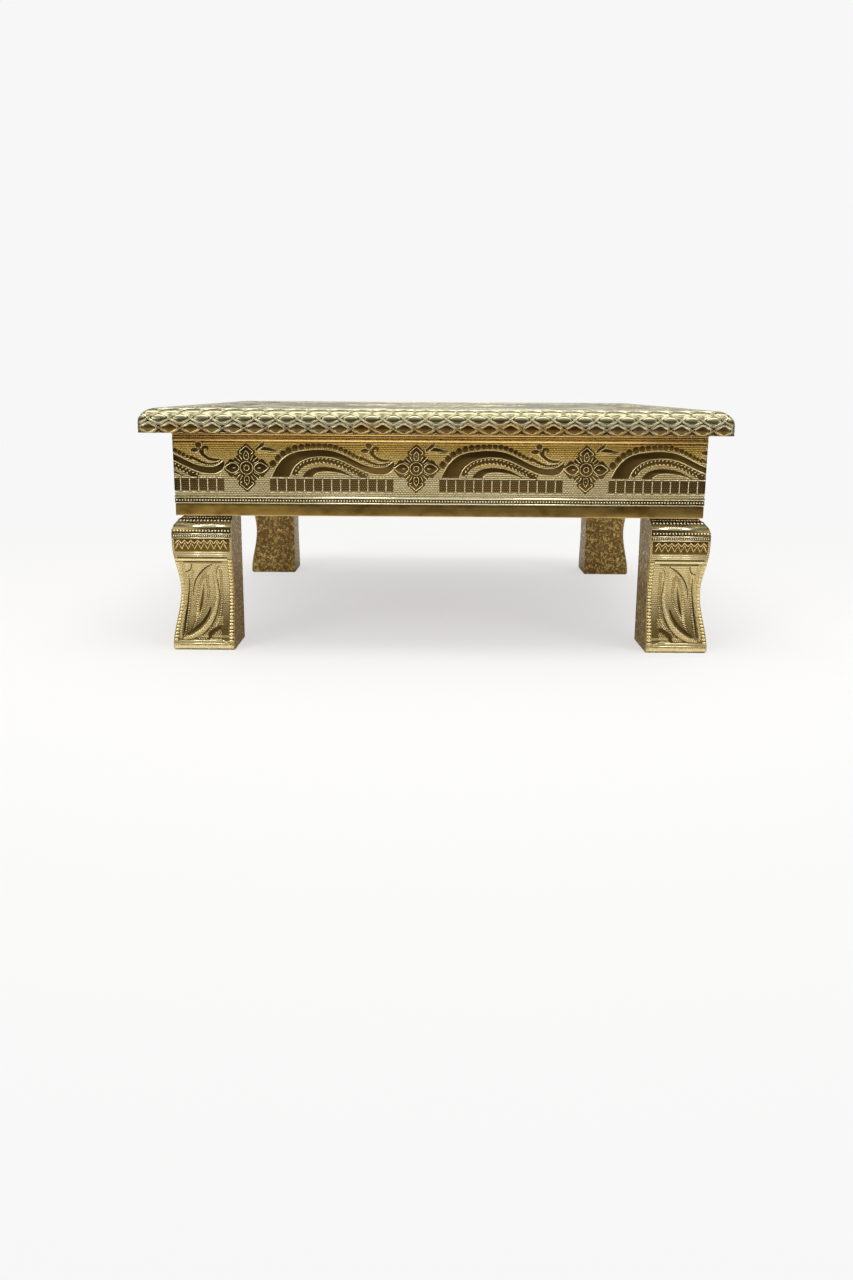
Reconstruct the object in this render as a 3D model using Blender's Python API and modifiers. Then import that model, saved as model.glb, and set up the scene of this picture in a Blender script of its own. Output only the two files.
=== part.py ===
"""Low square tray table: a wooden board, box and four bracket legs, clad in thin brass sheet.

Units are metres, +Z is up and the front faces -Y.  The origin is on the floor under the board's centre.
Each side of the table is built once, facing -Y, and turned about Z for the other three.
"""

import math

import bmesh
import bpy
from mathutils import Matrix, Vector

# Driving dimensions
BOARD_SIDE = 0.380          # over the edge strips
TABLE_HEIGHT = 0.160
BOARD_THICKNESS = 0.0155    # over the sheets
BOX_SIDE = 0.3485           # over the frieze sheets
BOX_OFFSET_X = 0.0028       # the box sits a little to the right under the board
LEG_HEIGHT = 0.090
SHEET = 0.0006
GAP = 0.0003                # between pieces that touch

# Board
BULLNOSE_RADIUS = 0.010
BULLNOSE_STEPS = 8
STRIP_TOP_FLANGE = 0.004
STRIP_UNDER_FLANGE = 0.010

# Box
RAIL_THICKNESS = 0.012
BASE_STRIP_HEIGHT = 0.0076
BASE_STRIP_FLANGE = 0.012
POST_SIDE = 0.022

# Leg, as distances outwards from the face of the box; each is set a little to the right of its corner
LEG_INNER = -0.036
LEG_FOOT = 0.0052
LEG_WAIST = -0.0005
LEG_BULGE = 0.0036
LEG_WAIST_Z = 0.041
LEG_BULGE_Z = 0.072
LEG_TOP_RADIUS = 0.012
LEG_CURVE_STEPS = 9
LEG_TOP_STEPS = 8
LEG_SHEET_FOOT_Z = 0.0008   # the wooden foot carries the load, not the sheet
LEG_SHIFTS = {"front_left": 0.0007, "front_right": 0.0016, "rear_right": 0.0037, "rear_left": 0.0028}

# Fixings
BOARD_SCREW = {"radius": 0.0020, "head_radius": 0.0040, "head_depth": 0.0026, "length": 0.035}
DOWEL_SCREW = {"radius": 0.0030, "length": 0.050}
DOWEL_SCREW_Z = 0.062       # its lower end, inside the leg
HOLE_CLEARANCE = 0.0003
HOLE_OVERRUN = 0.001        # how far a cutter runs past the surface that it opens
POINT_LENGTH = 0.004        # taper at a screw's tip
TURNED_STEPS = 16

SIDES = ("front", "right", "rear", "left")                              # each a quarter turn on
CORNERS = ("front_left", "front_right", "rear_right", "rear_left")

BOARD_HALF = BOARD_SIDE / 2
BOX_HALF = BOX_SIDE / 2
BOARD_BASE_Z = TABLE_HEIGHT - BOARD_THICKNESS
SKIN = SHEET + GAP                                                      # what lies on the wood
BOX_BASE_Z = LEG_HEIGHT + GAP
RAIL_TOP_Z = BOARD_BASE_Z + SKIN - GAP
POST_OUTER = BOX_HALF - SKIN - RAIL_THICKNESS - GAP
SCREW_FROM_CENTRE = POST_OUTER - POST_SIDE / 2


def clear_scene():
    for obj in list(bpy.data.objects):
        bpy.data.objects.remove(obj, do_unlink=True)


def make_collection(name):
    collection = bpy.data.collections.new(name)
    bpy.context.scene.collection.children.link(collection)
    return collection


def make_material(name, colour, roughness, metallic):
    material = bpy.data.materials.new(name)
    material.use_nodes = True
    shader = material.node_tree.nodes["Principled BSDF"]
    shader.inputs["Base Color"].default_value = (*colour, 1.0)
    shader.inputs["Roughness"].default_value = roughness
    shader.inputs["Metallic"].default_value = metallic
    return material


def add_mesh_object(name, bm, collection, material):
    """Puts a finished bmesh into a new named object."""
    bmesh.ops.recalc_face_normals(bm, faces=bm.faces)
    mesh = bpy.data.meshes.new(name)
    bm.to_mesh(mesh)
    bm.free()
    mesh.materials.append(material)
    obj = bpy.data.objects.new(name, mesh)
    collection.objects.link(obj)
    return obj


def bullnose_path(inset=0.0):
    """(distance from the centre, height) up the board's edge, from its foot to the top, inset from the skin."""
    centre = (BOARD_HALF - BULLNOSE_RADIUS, TABLE_HEIGHT - BULLNOSE_RADIUS)
    radius = BULLNOSE_RADIUS - inset
    path = [(BOARD_HALF - inset, BOARD_BASE_Z + inset)]
    for step in range(BULLNOSE_STEPS + 1):
        angle = math.radians(90) * step / BULLNOSE_STEPS
        path.append((centre[0] + radius * math.cos(angle), centre[1] + radius * math.sin(angle)))
    return path


def leg_path(inset=0.0):
    """(distance from the centre, height) up the leg's outer face, from foot to top, inset from the skin."""
    path = []
    for step in range(LEG_CURVE_STEPS):
        share = step / LEG_CURVE_STEPS
        swing = (1 + math.cos(math.pi * share)) / 2
        path.append((LEG_WAIST + (LEG_FOOT - LEG_WAIST) * swing, LEG_WAIST_Z * share))
    for step in range(LEG_CURVE_STEPS + 1):
        share = step / LEG_CURVE_STEPS
        swing = (1 - math.cos(math.pi * share)) / 2
        height = LEG_WAIST_Z + (LEG_BULGE_Z - LEG_WAIST_Z) * share
        path.append((LEG_WAIST + (LEG_BULGE - LEG_WAIST) * swing, height))
    path = [(BOX_HALF + out - inset, height) for out, height in path]
    centre = (BOX_HALF + LEG_BULGE - LEG_TOP_RADIUS, LEG_HEIGHT - LEG_TOP_RADIUS)
    radius = LEG_TOP_RADIUS - inset
    for step in range(LEG_TOP_STEPS + 1):
        angle = math.radians(90) * step / LEG_TOP_STEPS
        path.append((centre[0] + radius * math.cos(angle), centre[1] + radius * math.sin(angle)))
    return path


def outline_solid(name, outline, half_length, collection, material):
    """A bar along X whose section is an outline of (distance from the centre, height), facing -Y."""
    curve = bpy.data.curves.new(name + "_outline", "CURVE")
    curve.dimensions = "2D"
    curve.fill_mode = "BOTH"
    curve.extrude = half_length
    spline = curve.splines.new("POLY")
    spline.points.add(len(outline) - 1)
    for point, (out, height) in zip(spline.points, outline):
        point.co = (out, height, 0.0, 1.0)
    spline.use_cyclic_u = True
    guide = bpy.data.objects.new(name + "_outline", curve)
    collection.objects.link(guide)
    graph = bpy.context.evaluated_depsgraph_get()
    mesh = bpy.data.meshes.new_from_object(guide.evaluated_get(graph))
    bpy.data.objects.remove(guide, do_unlink=True)
    bm = bmesh.new()
    bm.from_mesh(mesh)
    bpy.data.meshes.remove(mesh)
    bmesh.ops.remove_doubles(bm, verts=bm.verts, dist=1e-6)
    facing = Matrix(((0, 0, -1), (-1, 0, 0), (0, 1, 0))).to_4x4()
    bmesh.ops.transform(bm, matrix=facing, verts=bm.verts)
    return add_mesh_object(name, bm, collection, material)


def cut_away(obj, point, normal):
    """Removes what lies beyond a plane and closes the cut."""
    bm = bmesh.new()
    bm.from_mesh(obj.data)
    geometry = bm.verts[:] + bm.edges[:] + bm.faces[:]
    bmesh.ops.bisect_plane(
        bm, geom=geometry, dist=1e-7, plane_co=point, plane_no=normal, clear_outer=True
    )
    rim = [edge for edge in bm.edges if edge.is_boundary]
    bmesh.ops.holes_fill(bm, edges=rim)
    bmesh.ops.recalc_face_normals(bm, faces=bm.faces)
    bm.to_mesh(obj.data)
    bm.free()


def mitre(obj, ends=(-1, 1)):
    """Cuts a bar that faces -Y at 45 degrees in plan, half a gap short of the corner's diagonal."""
    for end in ends:
        cut_away(obj, Vector((0, -GAP * math.sqrt(0.5), 0)), Vector((end, 1, 0)).normalized())


def square_stack(name, levels, collection, material):
    """A block whose plan is a square from low to high in both X and Y at each (height, low, high)."""
    bm = bmesh.new()
    bmesh.ops.create_cube(bm, size=1.0)
    bottom, top = levels[0][0], levels[-1][0]
    for vert in bm.verts:
        vert.co = Vector((vert.co.x + 0.5, vert.co.y + 0.5, bottom if vert.co.z < 0 else top))
    for height, _, _ in levels[1:-1]:
        geometry = bm.verts[:] + bm.edges[:] + bm.faces[:]
        bmesh.ops.bisect_plane(
            bm, geom=geometry, dist=1e-7, plane_co=(0, 0, height), plane_no=(0, 0, 1)
        )
    for vert in bm.verts:
        _, low, high = min(levels, key=lambda level: abs(level[0] - vert.co.z))
        vert.co.x = low + (high - low) * vert.co.x
        vert.co.y = low + (high - low) * vert.co.y
    return add_mesh_object(name, bm, collection, material)


def turned(name, profile, collection, material):
    """A solid of revolution about Z, from (radius, height) points that run from its top to its tip."""
    mesh = bpy.data.meshes.new(name)
    points = [(radius, 0.0, height) for radius, height in profile]
    mesh.from_pydata(points, [(i, i + 1) for i in range(len(points) - 1)], [])
    mesh.materials.append(material)
    obj = bpy.data.objects.new(name, mesh)
    collection.objects.link(obj)
    spin = obj.modifiers.new("turn", "SCREW")
    spin.steps = TURNED_STEPS
    spin.render_steps = TURNED_STEPS
    spin.use_merge_vertices = True
    spin.merge_threshold = 0.00001
    spin.use_normal_calculate = True
    return obj


def make_cutter(name, radius, low, high, cutters, top_radius):
    """A round cutter about Z, which flares like a countersink where its top is wider."""
    bm = bmesh.new()
    bmesh.ops.create_cone(
        bm, cap_ends=True, segments=TURNED_STEPS,
        radius1=radius, radius2=top_radius, depth=high - low,
    )
    cutter = add_mesh_object(name, bm, cutters, bpy.data.materials["steel"])
    cutter.location.z = (low + high) / 2
    cutter.hide_render = True
    cutter.display_type = "WIRE"
    return cutter


def drill(obj, cutter):
    hole = obj.modifiers.new("hole", "BOOLEAN")
    hole.operation = "DIFFERENCE"
    hole.object = cutter


def make_empty(name, shift, parent, collection):
    empty = bpy.data.objects.new(name, None)
    empty.location.x = shift
    empty.parent = parent
    collection.objects.link(empty)
    return empty


def place_on_side(obj, turn, parent):
    """Turns a piece built facing -Y to one of the four sides."""
    obj.rotation_euler.z = math.radians(90) * turn
    obj.parent = parent


def swap_to_side_face(obj):
    """Mirrors a leg's front piece across the leg's diagonal, so that it faces -X."""
    swap = Matrix(((0, 1, 0), (1, 0, 0), (0, 0, 1))).to_4x4()
    obj.data.transform(swap)
    obj.data.flip_normals()


def build_board(part, cutters, finishes):
    core_levels = [(height, -out, out) for out, height in bullnose_path(SKIN)]
    board = square_stack("board_core", core_levels, part, finishes["wood"])
    hole_radius = BOARD_SCREW["radius"] + HOLE_CLEARANCE
    sink_radius = BOARD_SCREW["head_radius"] + 6 * HOLE_CLEARANCE
    sink_low = TABLE_HEIGHT - SKIN - GAP - BOARD_SCREW["head_depth"] - HOLE_CLEARANCE
    for name, spot in zip(CORNERS, corner_spots()):
        for kind, low, flare in (
            ("hole", BOARD_BASE_Z - HOLE_OVERRUN, hole_radius),
            ("sink", sink_low, sink_radius),
        ):
            cutter = make_cutter(f"cut_board_{kind}_{name}", hole_radius, low, TABLE_HEIGHT, cutters, flare)
            cutter.location.xy = spot
            drill(board, cutter)

    outer = bullnose_path()
    outer.insert(0, (BOARD_HALF - STRIP_UNDER_FLANGE, BOARD_BASE_Z))
    outer.append((BOARD_HALF - BULLNOSE_RADIUS - STRIP_TOP_FLANGE, TABLE_HEIGHT))
    inner = bullnose_path(SHEET)
    inner.insert(0, (BOARD_HALF - STRIP_UNDER_FLANGE, BOARD_BASE_Z + SHEET))
    inner.append((BOARD_HALF - BULLNOSE_RADIUS - STRIP_TOP_FLANGE, TABLE_HEIGHT - SHEET))
    for turn, side in enumerate(SIDES):
        strip = outline_solid(f"edge_strip_{side}", outer + inner[::-1], BOARD_HALF, part, finishes["brass"])
        mitre(strip)
        strip.rotation_euler.z = math.radians(90) * turn

    field_half = BOARD_HALF - BULLNOSE_RADIUS - STRIP_TOP_FLANGE - GAP
    field = [(TABLE_HEIGHT - SHEET, -field_half, field_half), (TABLE_HEIGHT, -field_half, field_half)]
    square_stack("top_sheet", field, part, finishes["brass"])


def corner_spots():
    """Plan positions of the corner fixings, in the order of CORNERS."""
    reach = SCREW_FROM_CENTRE
    plan = ((-reach, -reach), (reach, -reach), (reach, reach), (-reach, reach))
    return [(x + BOX_OFFSET_X, y) for x, y in plan]


def rectangle(low_out, high_out, low_z, high_z):
    return [(low_out, low_z), (high_out, low_z), (high_out, high_z), (low_out, high_z)]


def build_box(part, cutters, finishes, box):
    face, wood_face = BOX_HALF, BOX_HALF - SKIN
    strip_top_z = BOX_BASE_Z + BASE_STRIP_HEIGHT
    rail = rectangle(wood_face - RAIL_THICKNESS, wood_face, BOX_BASE_Z + SKIN, RAIL_TOP_Z)
    frieze = rectangle(face - SHEET, face, strip_top_z + GAP, BOARD_BASE_Z - GAP)
    flange_end = face - BASE_STRIP_FLANGE
    base_strip = [(flange_end, BOX_BASE_Z), (face, BOX_BASE_Z), (face, strip_top_z),
                  (face - SHEET, strip_top_z), (face - SHEET, BOX_BASE_Z + SHEET),
                  (flange_end, BOX_BASE_Z + SHEET)]
    for turn, side in enumerate(SIDES):
        for name, outline, finish in (
            (f"rail_{side}", rail, "wood"),
            (f"frieze_sheet_{side}", frieze, "brass"),
            (f"base_strip_{side}", base_strip, "brass"),
        ):
            piece = outline_solid(name, outline, BOX_HALF, part, finishes[finish])
            mitre(piece)
            place_on_side(piece, turn, box)

    post_inner = POST_OUTER - POST_SIDE
    for turn, corner in enumerate(CORNERS):
        post_levels = [(BOX_BASE_Z, -POST_OUTER, -post_inner), (RAIL_TOP_Z, -POST_OUTER, -post_inner)]
        post = square_stack(f"corner_post_{corner}", post_levels, part, finishes["wood"])
        place_on_side(post, turn, box)
        screw_tip_z = TABLE_HEIGHT - SKIN - BOARD_SCREW["length"]
        for kind, radius, low, high in (
            ("top", BOARD_SCREW["radius"] + HOLE_CLEARANCE, screw_tip_z - HOLE_OVERRUN, TABLE_HEIGHT),
            ("foot", DOWEL_SCREW["radius"] + HOLE_CLEARANCE, LEG_HEIGHT - HOLE_OVERRUN,
             DOWEL_SCREW_Z + DOWEL_SCREW["length"] + HOLE_OVERRUN),
        ):
            cutter = make_cutter(f"cut_post_{kind}_{corner}", radius, low, high, cutters, radius)
            cutter.location.xy = corner_spots()[turn]
            drill(post, cutter)


def build_legs(part, cutters, finishes, box):
    core_levels = [(height, -out, -(BOX_HALF + LEG_INNER)) for out, height in leg_path(SKIN)]
    shoulder_z, outside, inside = core_levels.pop()
    core_levels += [(shoulder_z, outside + GAP, inside), (LEG_HEIGHT, outside + GAP, inside)]
    outer = [point for point in leg_path() if point[1] > LEG_SHEET_FOOT_Z]
    outer.insert(0, (outer[0][0], LEG_SHEET_FOOT_Z))
    inner = [point for point in leg_path(SHEET) if point[1] > LEG_SHEET_FOOT_Z]
    inner.insert(0, (inner[0][0], LEG_SHEET_FOOT_Z))
    reach = BOX_HALF + LEG_FOOT
    for turn, corner in enumerate(CORNERS):
        leg = make_empty(f"leg_frame_{corner}", LEG_SHIFTS[corner], box, part)
        core = square_stack(f"leg_core_{corner}", core_levels, part, finishes["paint"])
        place_on_side(core, turn, leg)
        radius = DOWEL_SCREW["radius"] + HOLE_CLEARANCE
        low, high = DOWEL_SCREW_Z - HOLE_OVERRUN, LEG_HEIGHT + HOLE_OVERRUN
        cutter = make_cutter(f"cut_leg_{corner}", radius, low, high, cutters, radius)
        cutter.location.xy = corner_spots()[turn]
        drill(core, cutter)
        for facing in (SIDES[turn], SIDES[turn - 1]):
            name = f"leg_sheet_{corner}_{facing}"
            sheet = outline_solid(name, outer + inner[::-1], reach, part, finishes["brass"])
            mitre(sheet, ends=(-1,))
            cut_away(sheet, Vector((-(BOX_HALF + LEG_INNER), 0, 0)), Vector((1, 0, 0)))
            if facing == SIDES[turn - 1]:
                swap_to_side_face(sheet)
            place_on_side(sheet, turn, leg)


def build_fixings(part, finishes):
    head, shank = BOARD_SCREW["head_radius"], BOARD_SCREW["radius"]
    tip, rod, rod_length = -BOARD_SCREW["length"], DOWEL_SCREW["radius"], DOWEL_SCREW["length"]
    countersunk = [(0, 0), (head, 0), (head, -GAP), (shank, -BOARD_SCREW["head_depth"]),
                   (shank, tip + POINT_LENGTH), (0, tip)]
    double_ended = [(0, rod_length), (rod, rod_length - POINT_LENGTH), (rod, POINT_LENGTH), (0, 0)]
    for corner, (x, y) in zip(CORNERS, corner_spots()):
        screw = turned(f"board_screw_{corner}", countersunk, part, finishes["steel"])
        screw.location = (x, y, TABLE_HEIGHT - SKIN - GAP)
        dowel = turned(f"dowel_screw_{corner}", double_ended, part, finishes["steel"])
        dowel.location = (x, y, DOWEL_SCREW_Z)


def main():
    clear_scene()
    part = make_collection("brass_tray_table")
    cutters = make_collection("cutters")
    finishes = {
        "brass": make_material("brass", (0.60, 0.44, 0.16), 0.30, 1.0),
        "paint": make_material("bronze_paint", (0.14, 0.09, 0.05), 0.55, 0.4),
        "wood": make_material("wood", (0.42, 0.28, 0.16), 0.75, 0.0),
        "steel": make_material("steel", (0.55, 0.55, 0.56), 0.35, 1.0),
    }
    box = make_empty("box_frame", BOX_OFFSET_X, None, part)
    build_board(part, cutters, finishes)
    build_box(part, cutters, finishes, box)
    build_legs(part, cutters, finishes, box)
    build_fixings(part, finishes)


main()
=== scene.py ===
"""Looks for the low brass table: embossed relief on the sheets, the finishes, the floor, light and camera.

Relief is modelled flat, with X along the sheet, Y up it and Z out of it, and is then laid on the sheet.
Lengths in the pattern are in millimetres; everything that is laid on the table is in metres.
"""

import math

import bmesh
import bpy
from mathutils import Matrix, Vector


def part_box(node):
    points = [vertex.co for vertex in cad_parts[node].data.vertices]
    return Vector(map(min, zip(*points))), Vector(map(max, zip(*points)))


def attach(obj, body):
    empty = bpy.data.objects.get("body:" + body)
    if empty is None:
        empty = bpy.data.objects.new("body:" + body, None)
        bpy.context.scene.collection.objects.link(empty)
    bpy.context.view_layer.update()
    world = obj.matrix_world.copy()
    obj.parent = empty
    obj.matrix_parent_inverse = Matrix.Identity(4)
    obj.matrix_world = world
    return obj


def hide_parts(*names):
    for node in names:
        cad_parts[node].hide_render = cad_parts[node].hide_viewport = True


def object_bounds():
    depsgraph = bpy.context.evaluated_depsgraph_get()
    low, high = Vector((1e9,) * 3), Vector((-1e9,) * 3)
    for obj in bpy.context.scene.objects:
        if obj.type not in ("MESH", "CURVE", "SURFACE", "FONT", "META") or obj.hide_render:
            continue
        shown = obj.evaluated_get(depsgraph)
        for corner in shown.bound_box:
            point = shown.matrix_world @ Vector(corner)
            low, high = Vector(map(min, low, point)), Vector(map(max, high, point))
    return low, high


MM = 0.001

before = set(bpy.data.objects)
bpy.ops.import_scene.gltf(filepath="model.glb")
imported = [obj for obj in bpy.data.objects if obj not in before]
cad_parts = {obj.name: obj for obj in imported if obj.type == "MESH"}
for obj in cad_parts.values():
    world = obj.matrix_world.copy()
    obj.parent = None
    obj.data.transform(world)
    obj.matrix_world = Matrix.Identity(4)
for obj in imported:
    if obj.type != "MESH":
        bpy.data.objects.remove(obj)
cad_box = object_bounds()

# Places and sizes, from the frame
SIDES = ("front", "right", "rear", "left")
CORNERS = ("front_left", "front_right", "rear_right", "rear_left")
_, BOARD_HIGH = cad_box
BOARD_HALF = BOARD_HIGH.x
TABLE_TOP = BOARD_HIGH.z
BOARD_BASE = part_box("edge_strip_front")[0].z
FRIEZE_LOW, FRIEZE_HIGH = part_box("frieze_sheet_front")
BASE_STRIP_LOW, BASE_STRIP_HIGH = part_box("base_strip_front")
BOX_X = (FRIEZE_LOW.x + FRIEZE_HIGH.x) / 2
BOX_HALF = -FRIEZE_LOW.y
LEG_SHEET_LOW, LEG_SHEET_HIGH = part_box("leg_sheet_front_left_front")
LEG_TOP = LEG_SHEET_HIGH.z
LEG_FOOT_Z = LEG_SHEET_LOW.z
LEG_FOOT_OUT = -LEG_SHEET_LOW.y
LEG_FACE = LEG_SHEET_HIGH.x - LEG_SHEET_LOW.x      # width of a leg's face at the foot
TOP_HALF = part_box("top_sheet")[1].x

# Shape of the sheets, as in the frame
NOSE_RADIUS = 10 * MM
LEG_WAIST, LEG_BULGE = -0.5 * MM, 3.6 * MM
LEG_WAIST_Z, LEG_BULGE_Z = 41 * MM, 72 * MM
LEG_TOP_RADIUS = 12 * MM
EMBOSS = 0.42 * MM            # height of the relief where it has to stay inside the frame's outline
SHEET = 0.3 * MM

# Frieze pattern
WAVE_PITCH = 111.2
FIRST_FLOWER = -126.6
FLOWER_HEIGHT = 31.4          # above the foot of the box
FLOWER_HALF = 16
BEAD_HEIGHT = 10.2            # of the row of beads in the lower moulding
SPECK_HEIGHT = 51.5           # of the row of specks in the upper moulding

# Edge pattern
LOZENGES = 28
LOZENGE_ROW = 6.5
FIRST_ROW = 3.3
LOW_LOZENGE, HIGH_LOZENGE = 0.96, 1.16

# Leg pattern
DASH = 2.7                    # width of a hatching dash at size 1


# ---------------------------------------------------------------- modelling helpers

def choose(*objs):
    bpy.ops.object.select_all(action="DESELECT")
    for obj in objs:
        obj.select_set(True)
    bpy.context.view_layer.objects.active = objs[0]


def to_mesh(obj):
    choose(obj)
    bpy.ops.object.convert(target="MESH")
    return bpy.context.object


def tidy_faces(obj):
    """Joins loose seams and turns every face outwards."""
    choose(obj)
    bpy.ops.object.mode_set(mode="EDIT")
    bpy.ops.mesh.select_all(action="SELECT")
    bpy.ops.mesh.remove_doubles(threshold=0.001 * MM)
    bpy.ops.mesh.normals_make_consistent(inside=False)
    bpy.ops.object.mode_set(mode="OBJECT")


def join(objs):
    choose(*objs)
    bpy.ops.object.join()
    return bpy.context.object


def copy_of(obj, name):
    twin = obj.copy()
    twin.data = obj.data.copy()
    twin.name = name
    bpy.context.scene.collection.objects.link(twin)
    return twin


def bezier(paths, cyclic, resolution, flat):
    """A curve through given points: (x, y), (x, y, width share), or (x, y, "sharp") for a corner."""
    bpy.ops.curve.primitive_bezier_curve_add()
    obj = bpy.context.object
    curve = obj.data
    curve.dimensions = "2D" if flat else "3D"
    curve.splines.clear()
    for path in paths:
        spline = curve.splines.new("BEZIER")
        spline.bezier_points.add(len(path) - 1)
        spline.use_cyclic_u = cyclic
        spline.resolution_u = resolution
        for knot, point in zip(spline.bezier_points, path):
            kind = point[2] if len(point) > 2 else 1.0
            knot.co = (point[0] * MM, point[1] * MM, 0)
            handle = "VECTOR" if kind == "sharp" else "AUTO"
            knot.handle_left_type = handle
            knot.handle_right_type = handle
            knot.radius = 1.0 if kind == "sharp" else kind
    return obj


def raised_lines(paths, finish, width, height, cyclic=False, resolution=6, sides=1):
    """Rounded ridges along paths, half sunk in the sheet."""
    obj = bezier(paths, cyclic, resolution, flat=False)
    obj.data.bevel_depth = width / 2 * MM
    obj.data.bevel_resolution = sides
    obj.data.use_fill_caps = not cyclic
    obj = to_mesh(obj)
    obj.data.transform(Matrix.Diagonal((1, 1, height / (width / 2), 1)))
    tidy_faces(obj)
    bpy.ops.object.shade_smooth()
    obj.data.materials.append(finish)
    return obj


def raised_plate(outlines, finish, rise=0.12, bevel=0.12, depth=0.3, resolution=6):
    """A flat field with a softened edge, standing rise out of the sheet."""
    obj = bezier(outlines, True, resolution, flat=True)
    curve = obj.data
    curve.fill_mode = "BOTH"
    curve.extrude = (depth / 2 - bevel) * MM
    curve.bevel_depth = bevel * MM
    curve.offset = -bevel * MM
    curve.bevel_resolution = 1
    obj = to_mesh(obj)
    obj.data.transform(Matrix.Translation((0, 0, (rise - depth / 2) * MM)))
    tidy_faces(obj)
    bpy.ops.object.shade_smooth_by_angle(angle=math.radians(40))
    obj.data.materials.append(finish)
    return obj


def dome(finish, width, length, height, segments=10, rings=6):
    """A low boss, half sunk in the sheet, long along X."""
    bpy.ops.mesh.primitive_uv_sphere_add(segments=segments, ring_count=rings, radius=0.5 * MM)
    obj = bpy.context.object
    obj.data.transform(Matrix.Diagonal((length, width, 2 * height, 1)))
    bpy.ops.object.mode_set(mode="EDIT")
    bpy.ops.mesh.select_all(action="SELECT")
    bpy.ops.mesh.bisect(plane_co=(0, 0, -0.1 * MM), plane_no=(0, 0, 1), use_fill=True, clear_inner=True)
    bpy.ops.object.mode_set(mode="OBJECT")
    bpy.ops.object.shade_smooth()
    obj.data.materials.append(finish)
    return obj


def stamped(punch, places):
    """Copies of one mark at each (x, y) or (x, y, turn in degrees, size), as one mesh. Uses up the mark."""
    bm = bmesh.new()
    for x, y, *rest in places:
        turn, size = rest or (0, 1)
        known = len(bm.verts)
        bm.from_mesh(punch.data)
        bm.verts.ensure_lookup_table()
        place = Matrix.Translation((x * MM, y * MM, 0)) @ Matrix.Rotation(math.radians(turn), 4, "Z")
        bmesh.ops.transform(bm, matrix=place @ Matrix.Scale(size, 4), verts=bm.verts[known:])
    bm.to_mesh(punch.data)
    bm.free()
    return punch


def row(start, end, pitch, size=1.0):
    """Evenly spaced places from start to end, for stamped()."""
    (x0, y0), (x1, y1) = start, end
    count = max(1, round(math.hypot(x1 - x0, y1 - y0) / pitch))
    shares = [(i + 0.5) / count for i in range(count)]
    return [(x0 + (x1 - x0) * share, y0 + (y1 - y0) * share, 0, size) for share in shares]


def along(path, pitch, size_start=1.0, size_end=1.0, lift=0.0):
    """Places spaced along a smooth path, turned to follow it, lift to its left."""
    guide = bezier([path], False, 12, flat=False)
    guide = to_mesh(guide)
    points = [v.co / MM for v in guide.data.vertices]
    bpy.data.objects.remove(guide, do_unlink=True)
    lengths = [0.0]
    for a, b in zip(points, points[1:]):
        lengths.append(lengths[-1] + (b - a).length)
    count = max(1, round(lengths[-1] / pitch))
    places = []
    k = 0
    for i in range(count + 1):
        target = lengths[-1] * i / count
        while k < len(points) - 2 and lengths[k + 1] < target:
            k += 1
        span = points[k + 1] - points[k]
        spot = points[k] + span * ((target - lengths[k]) / max(span.length, 1e-9))
        side = Vector((-span.y, span.x, 0)).normalized() * lift
        share = i / count
        size = size_start + (size_end - size_start) * share
        places.append((spot.x + side.x, spot.y + side.y, math.degrees(math.atan2(span.y, span.x)), size))
    return places


def sliced(points, step=2.5):
    """A straight sided outline with extra points, so that it can follow a curved sheet."""
    dense = []
    for (x0, y0), (x1, y1) in zip(points, points[1:] + points[:1]):
        parts = max(1, math.ceil(math.hypot(x1 - x0, y1 - y0) / step))
        dense += [(x0 + (x1 - x0) * i / parts, y0 + (y1 - y0) * i / parts, "sharp") for i in range(parts)]
    return dense


def box_outline(left, low, right, high):
    return [(left, low), (right, low), (right, high), (left, high)]


def cut_beyond(obj, point, normal):
    """Takes away what lies beyond a plane and closes the cuts."""
    bm = bmesh.new()
    bm.from_mesh(obj.data)
    everything = bm.verts[:] + bm.edges[:] + bm.faces[:]
    bmesh.ops.bisect_plane(bm, geom=everything, dist=1e-7, plane_co=point, plane_no=normal, clear_outer=True)
    bmesh.ops.holes_fill(bm, edges=[edge for edge in bm.edges if edge.is_boundary])
    bm.to_mesh(obj.data)
    bm.free()


def lay(obj, rule, mirrored=False):
    """Moves every point of a flat relief (x, y, out) to its place on the table."""
    for vert in obj.data.vertices:
        vert.co = rule(vert.co.x, vert.co.y, vert.co.z)
    if mirrored:
        obj.data.flip_normals()
    obj.data.update()
    return obj


def turn_to_side(obj, turn, centre_x):
    """Turns a piece made for the front to another side of the table."""
    centre = Matrix.Translation((centre_x, 0, 0))
    obj.data.transform(centre @ Matrix.Rotation(math.radians(90) * turn, 4, "Z") @ centre.inverted())
    return obj


def settle(obj):
    """Gives a finished piece of embossed brass to the table."""
    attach(obj, "root")


def trimmed(obj, cuts):
    for point, normal in cuts:
        cut_beyond(obj, point, normal)
    return obj


MITRES = [(Vector((0, 0, 0)), Vector((end, 1, 0)).normalized()) for end in (-1, 1)]


def on_each_side(pattern, name, rule, cuts, centre_x=0):
    """Lays a flat pattern along each side of the table and cuts off its ends. Uses up the pattern."""
    for turn, side in enumerate(SIDES):
        relief = trimmed(lay(copy_of(pattern, f"{name}_{side}"), rule), cuts)
        settle(turn_to_side(relief, turn, centre_x))
    bpy.data.objects.remove(pattern, do_unlink=True)


# ---------------------------------------------------------------- node building

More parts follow.
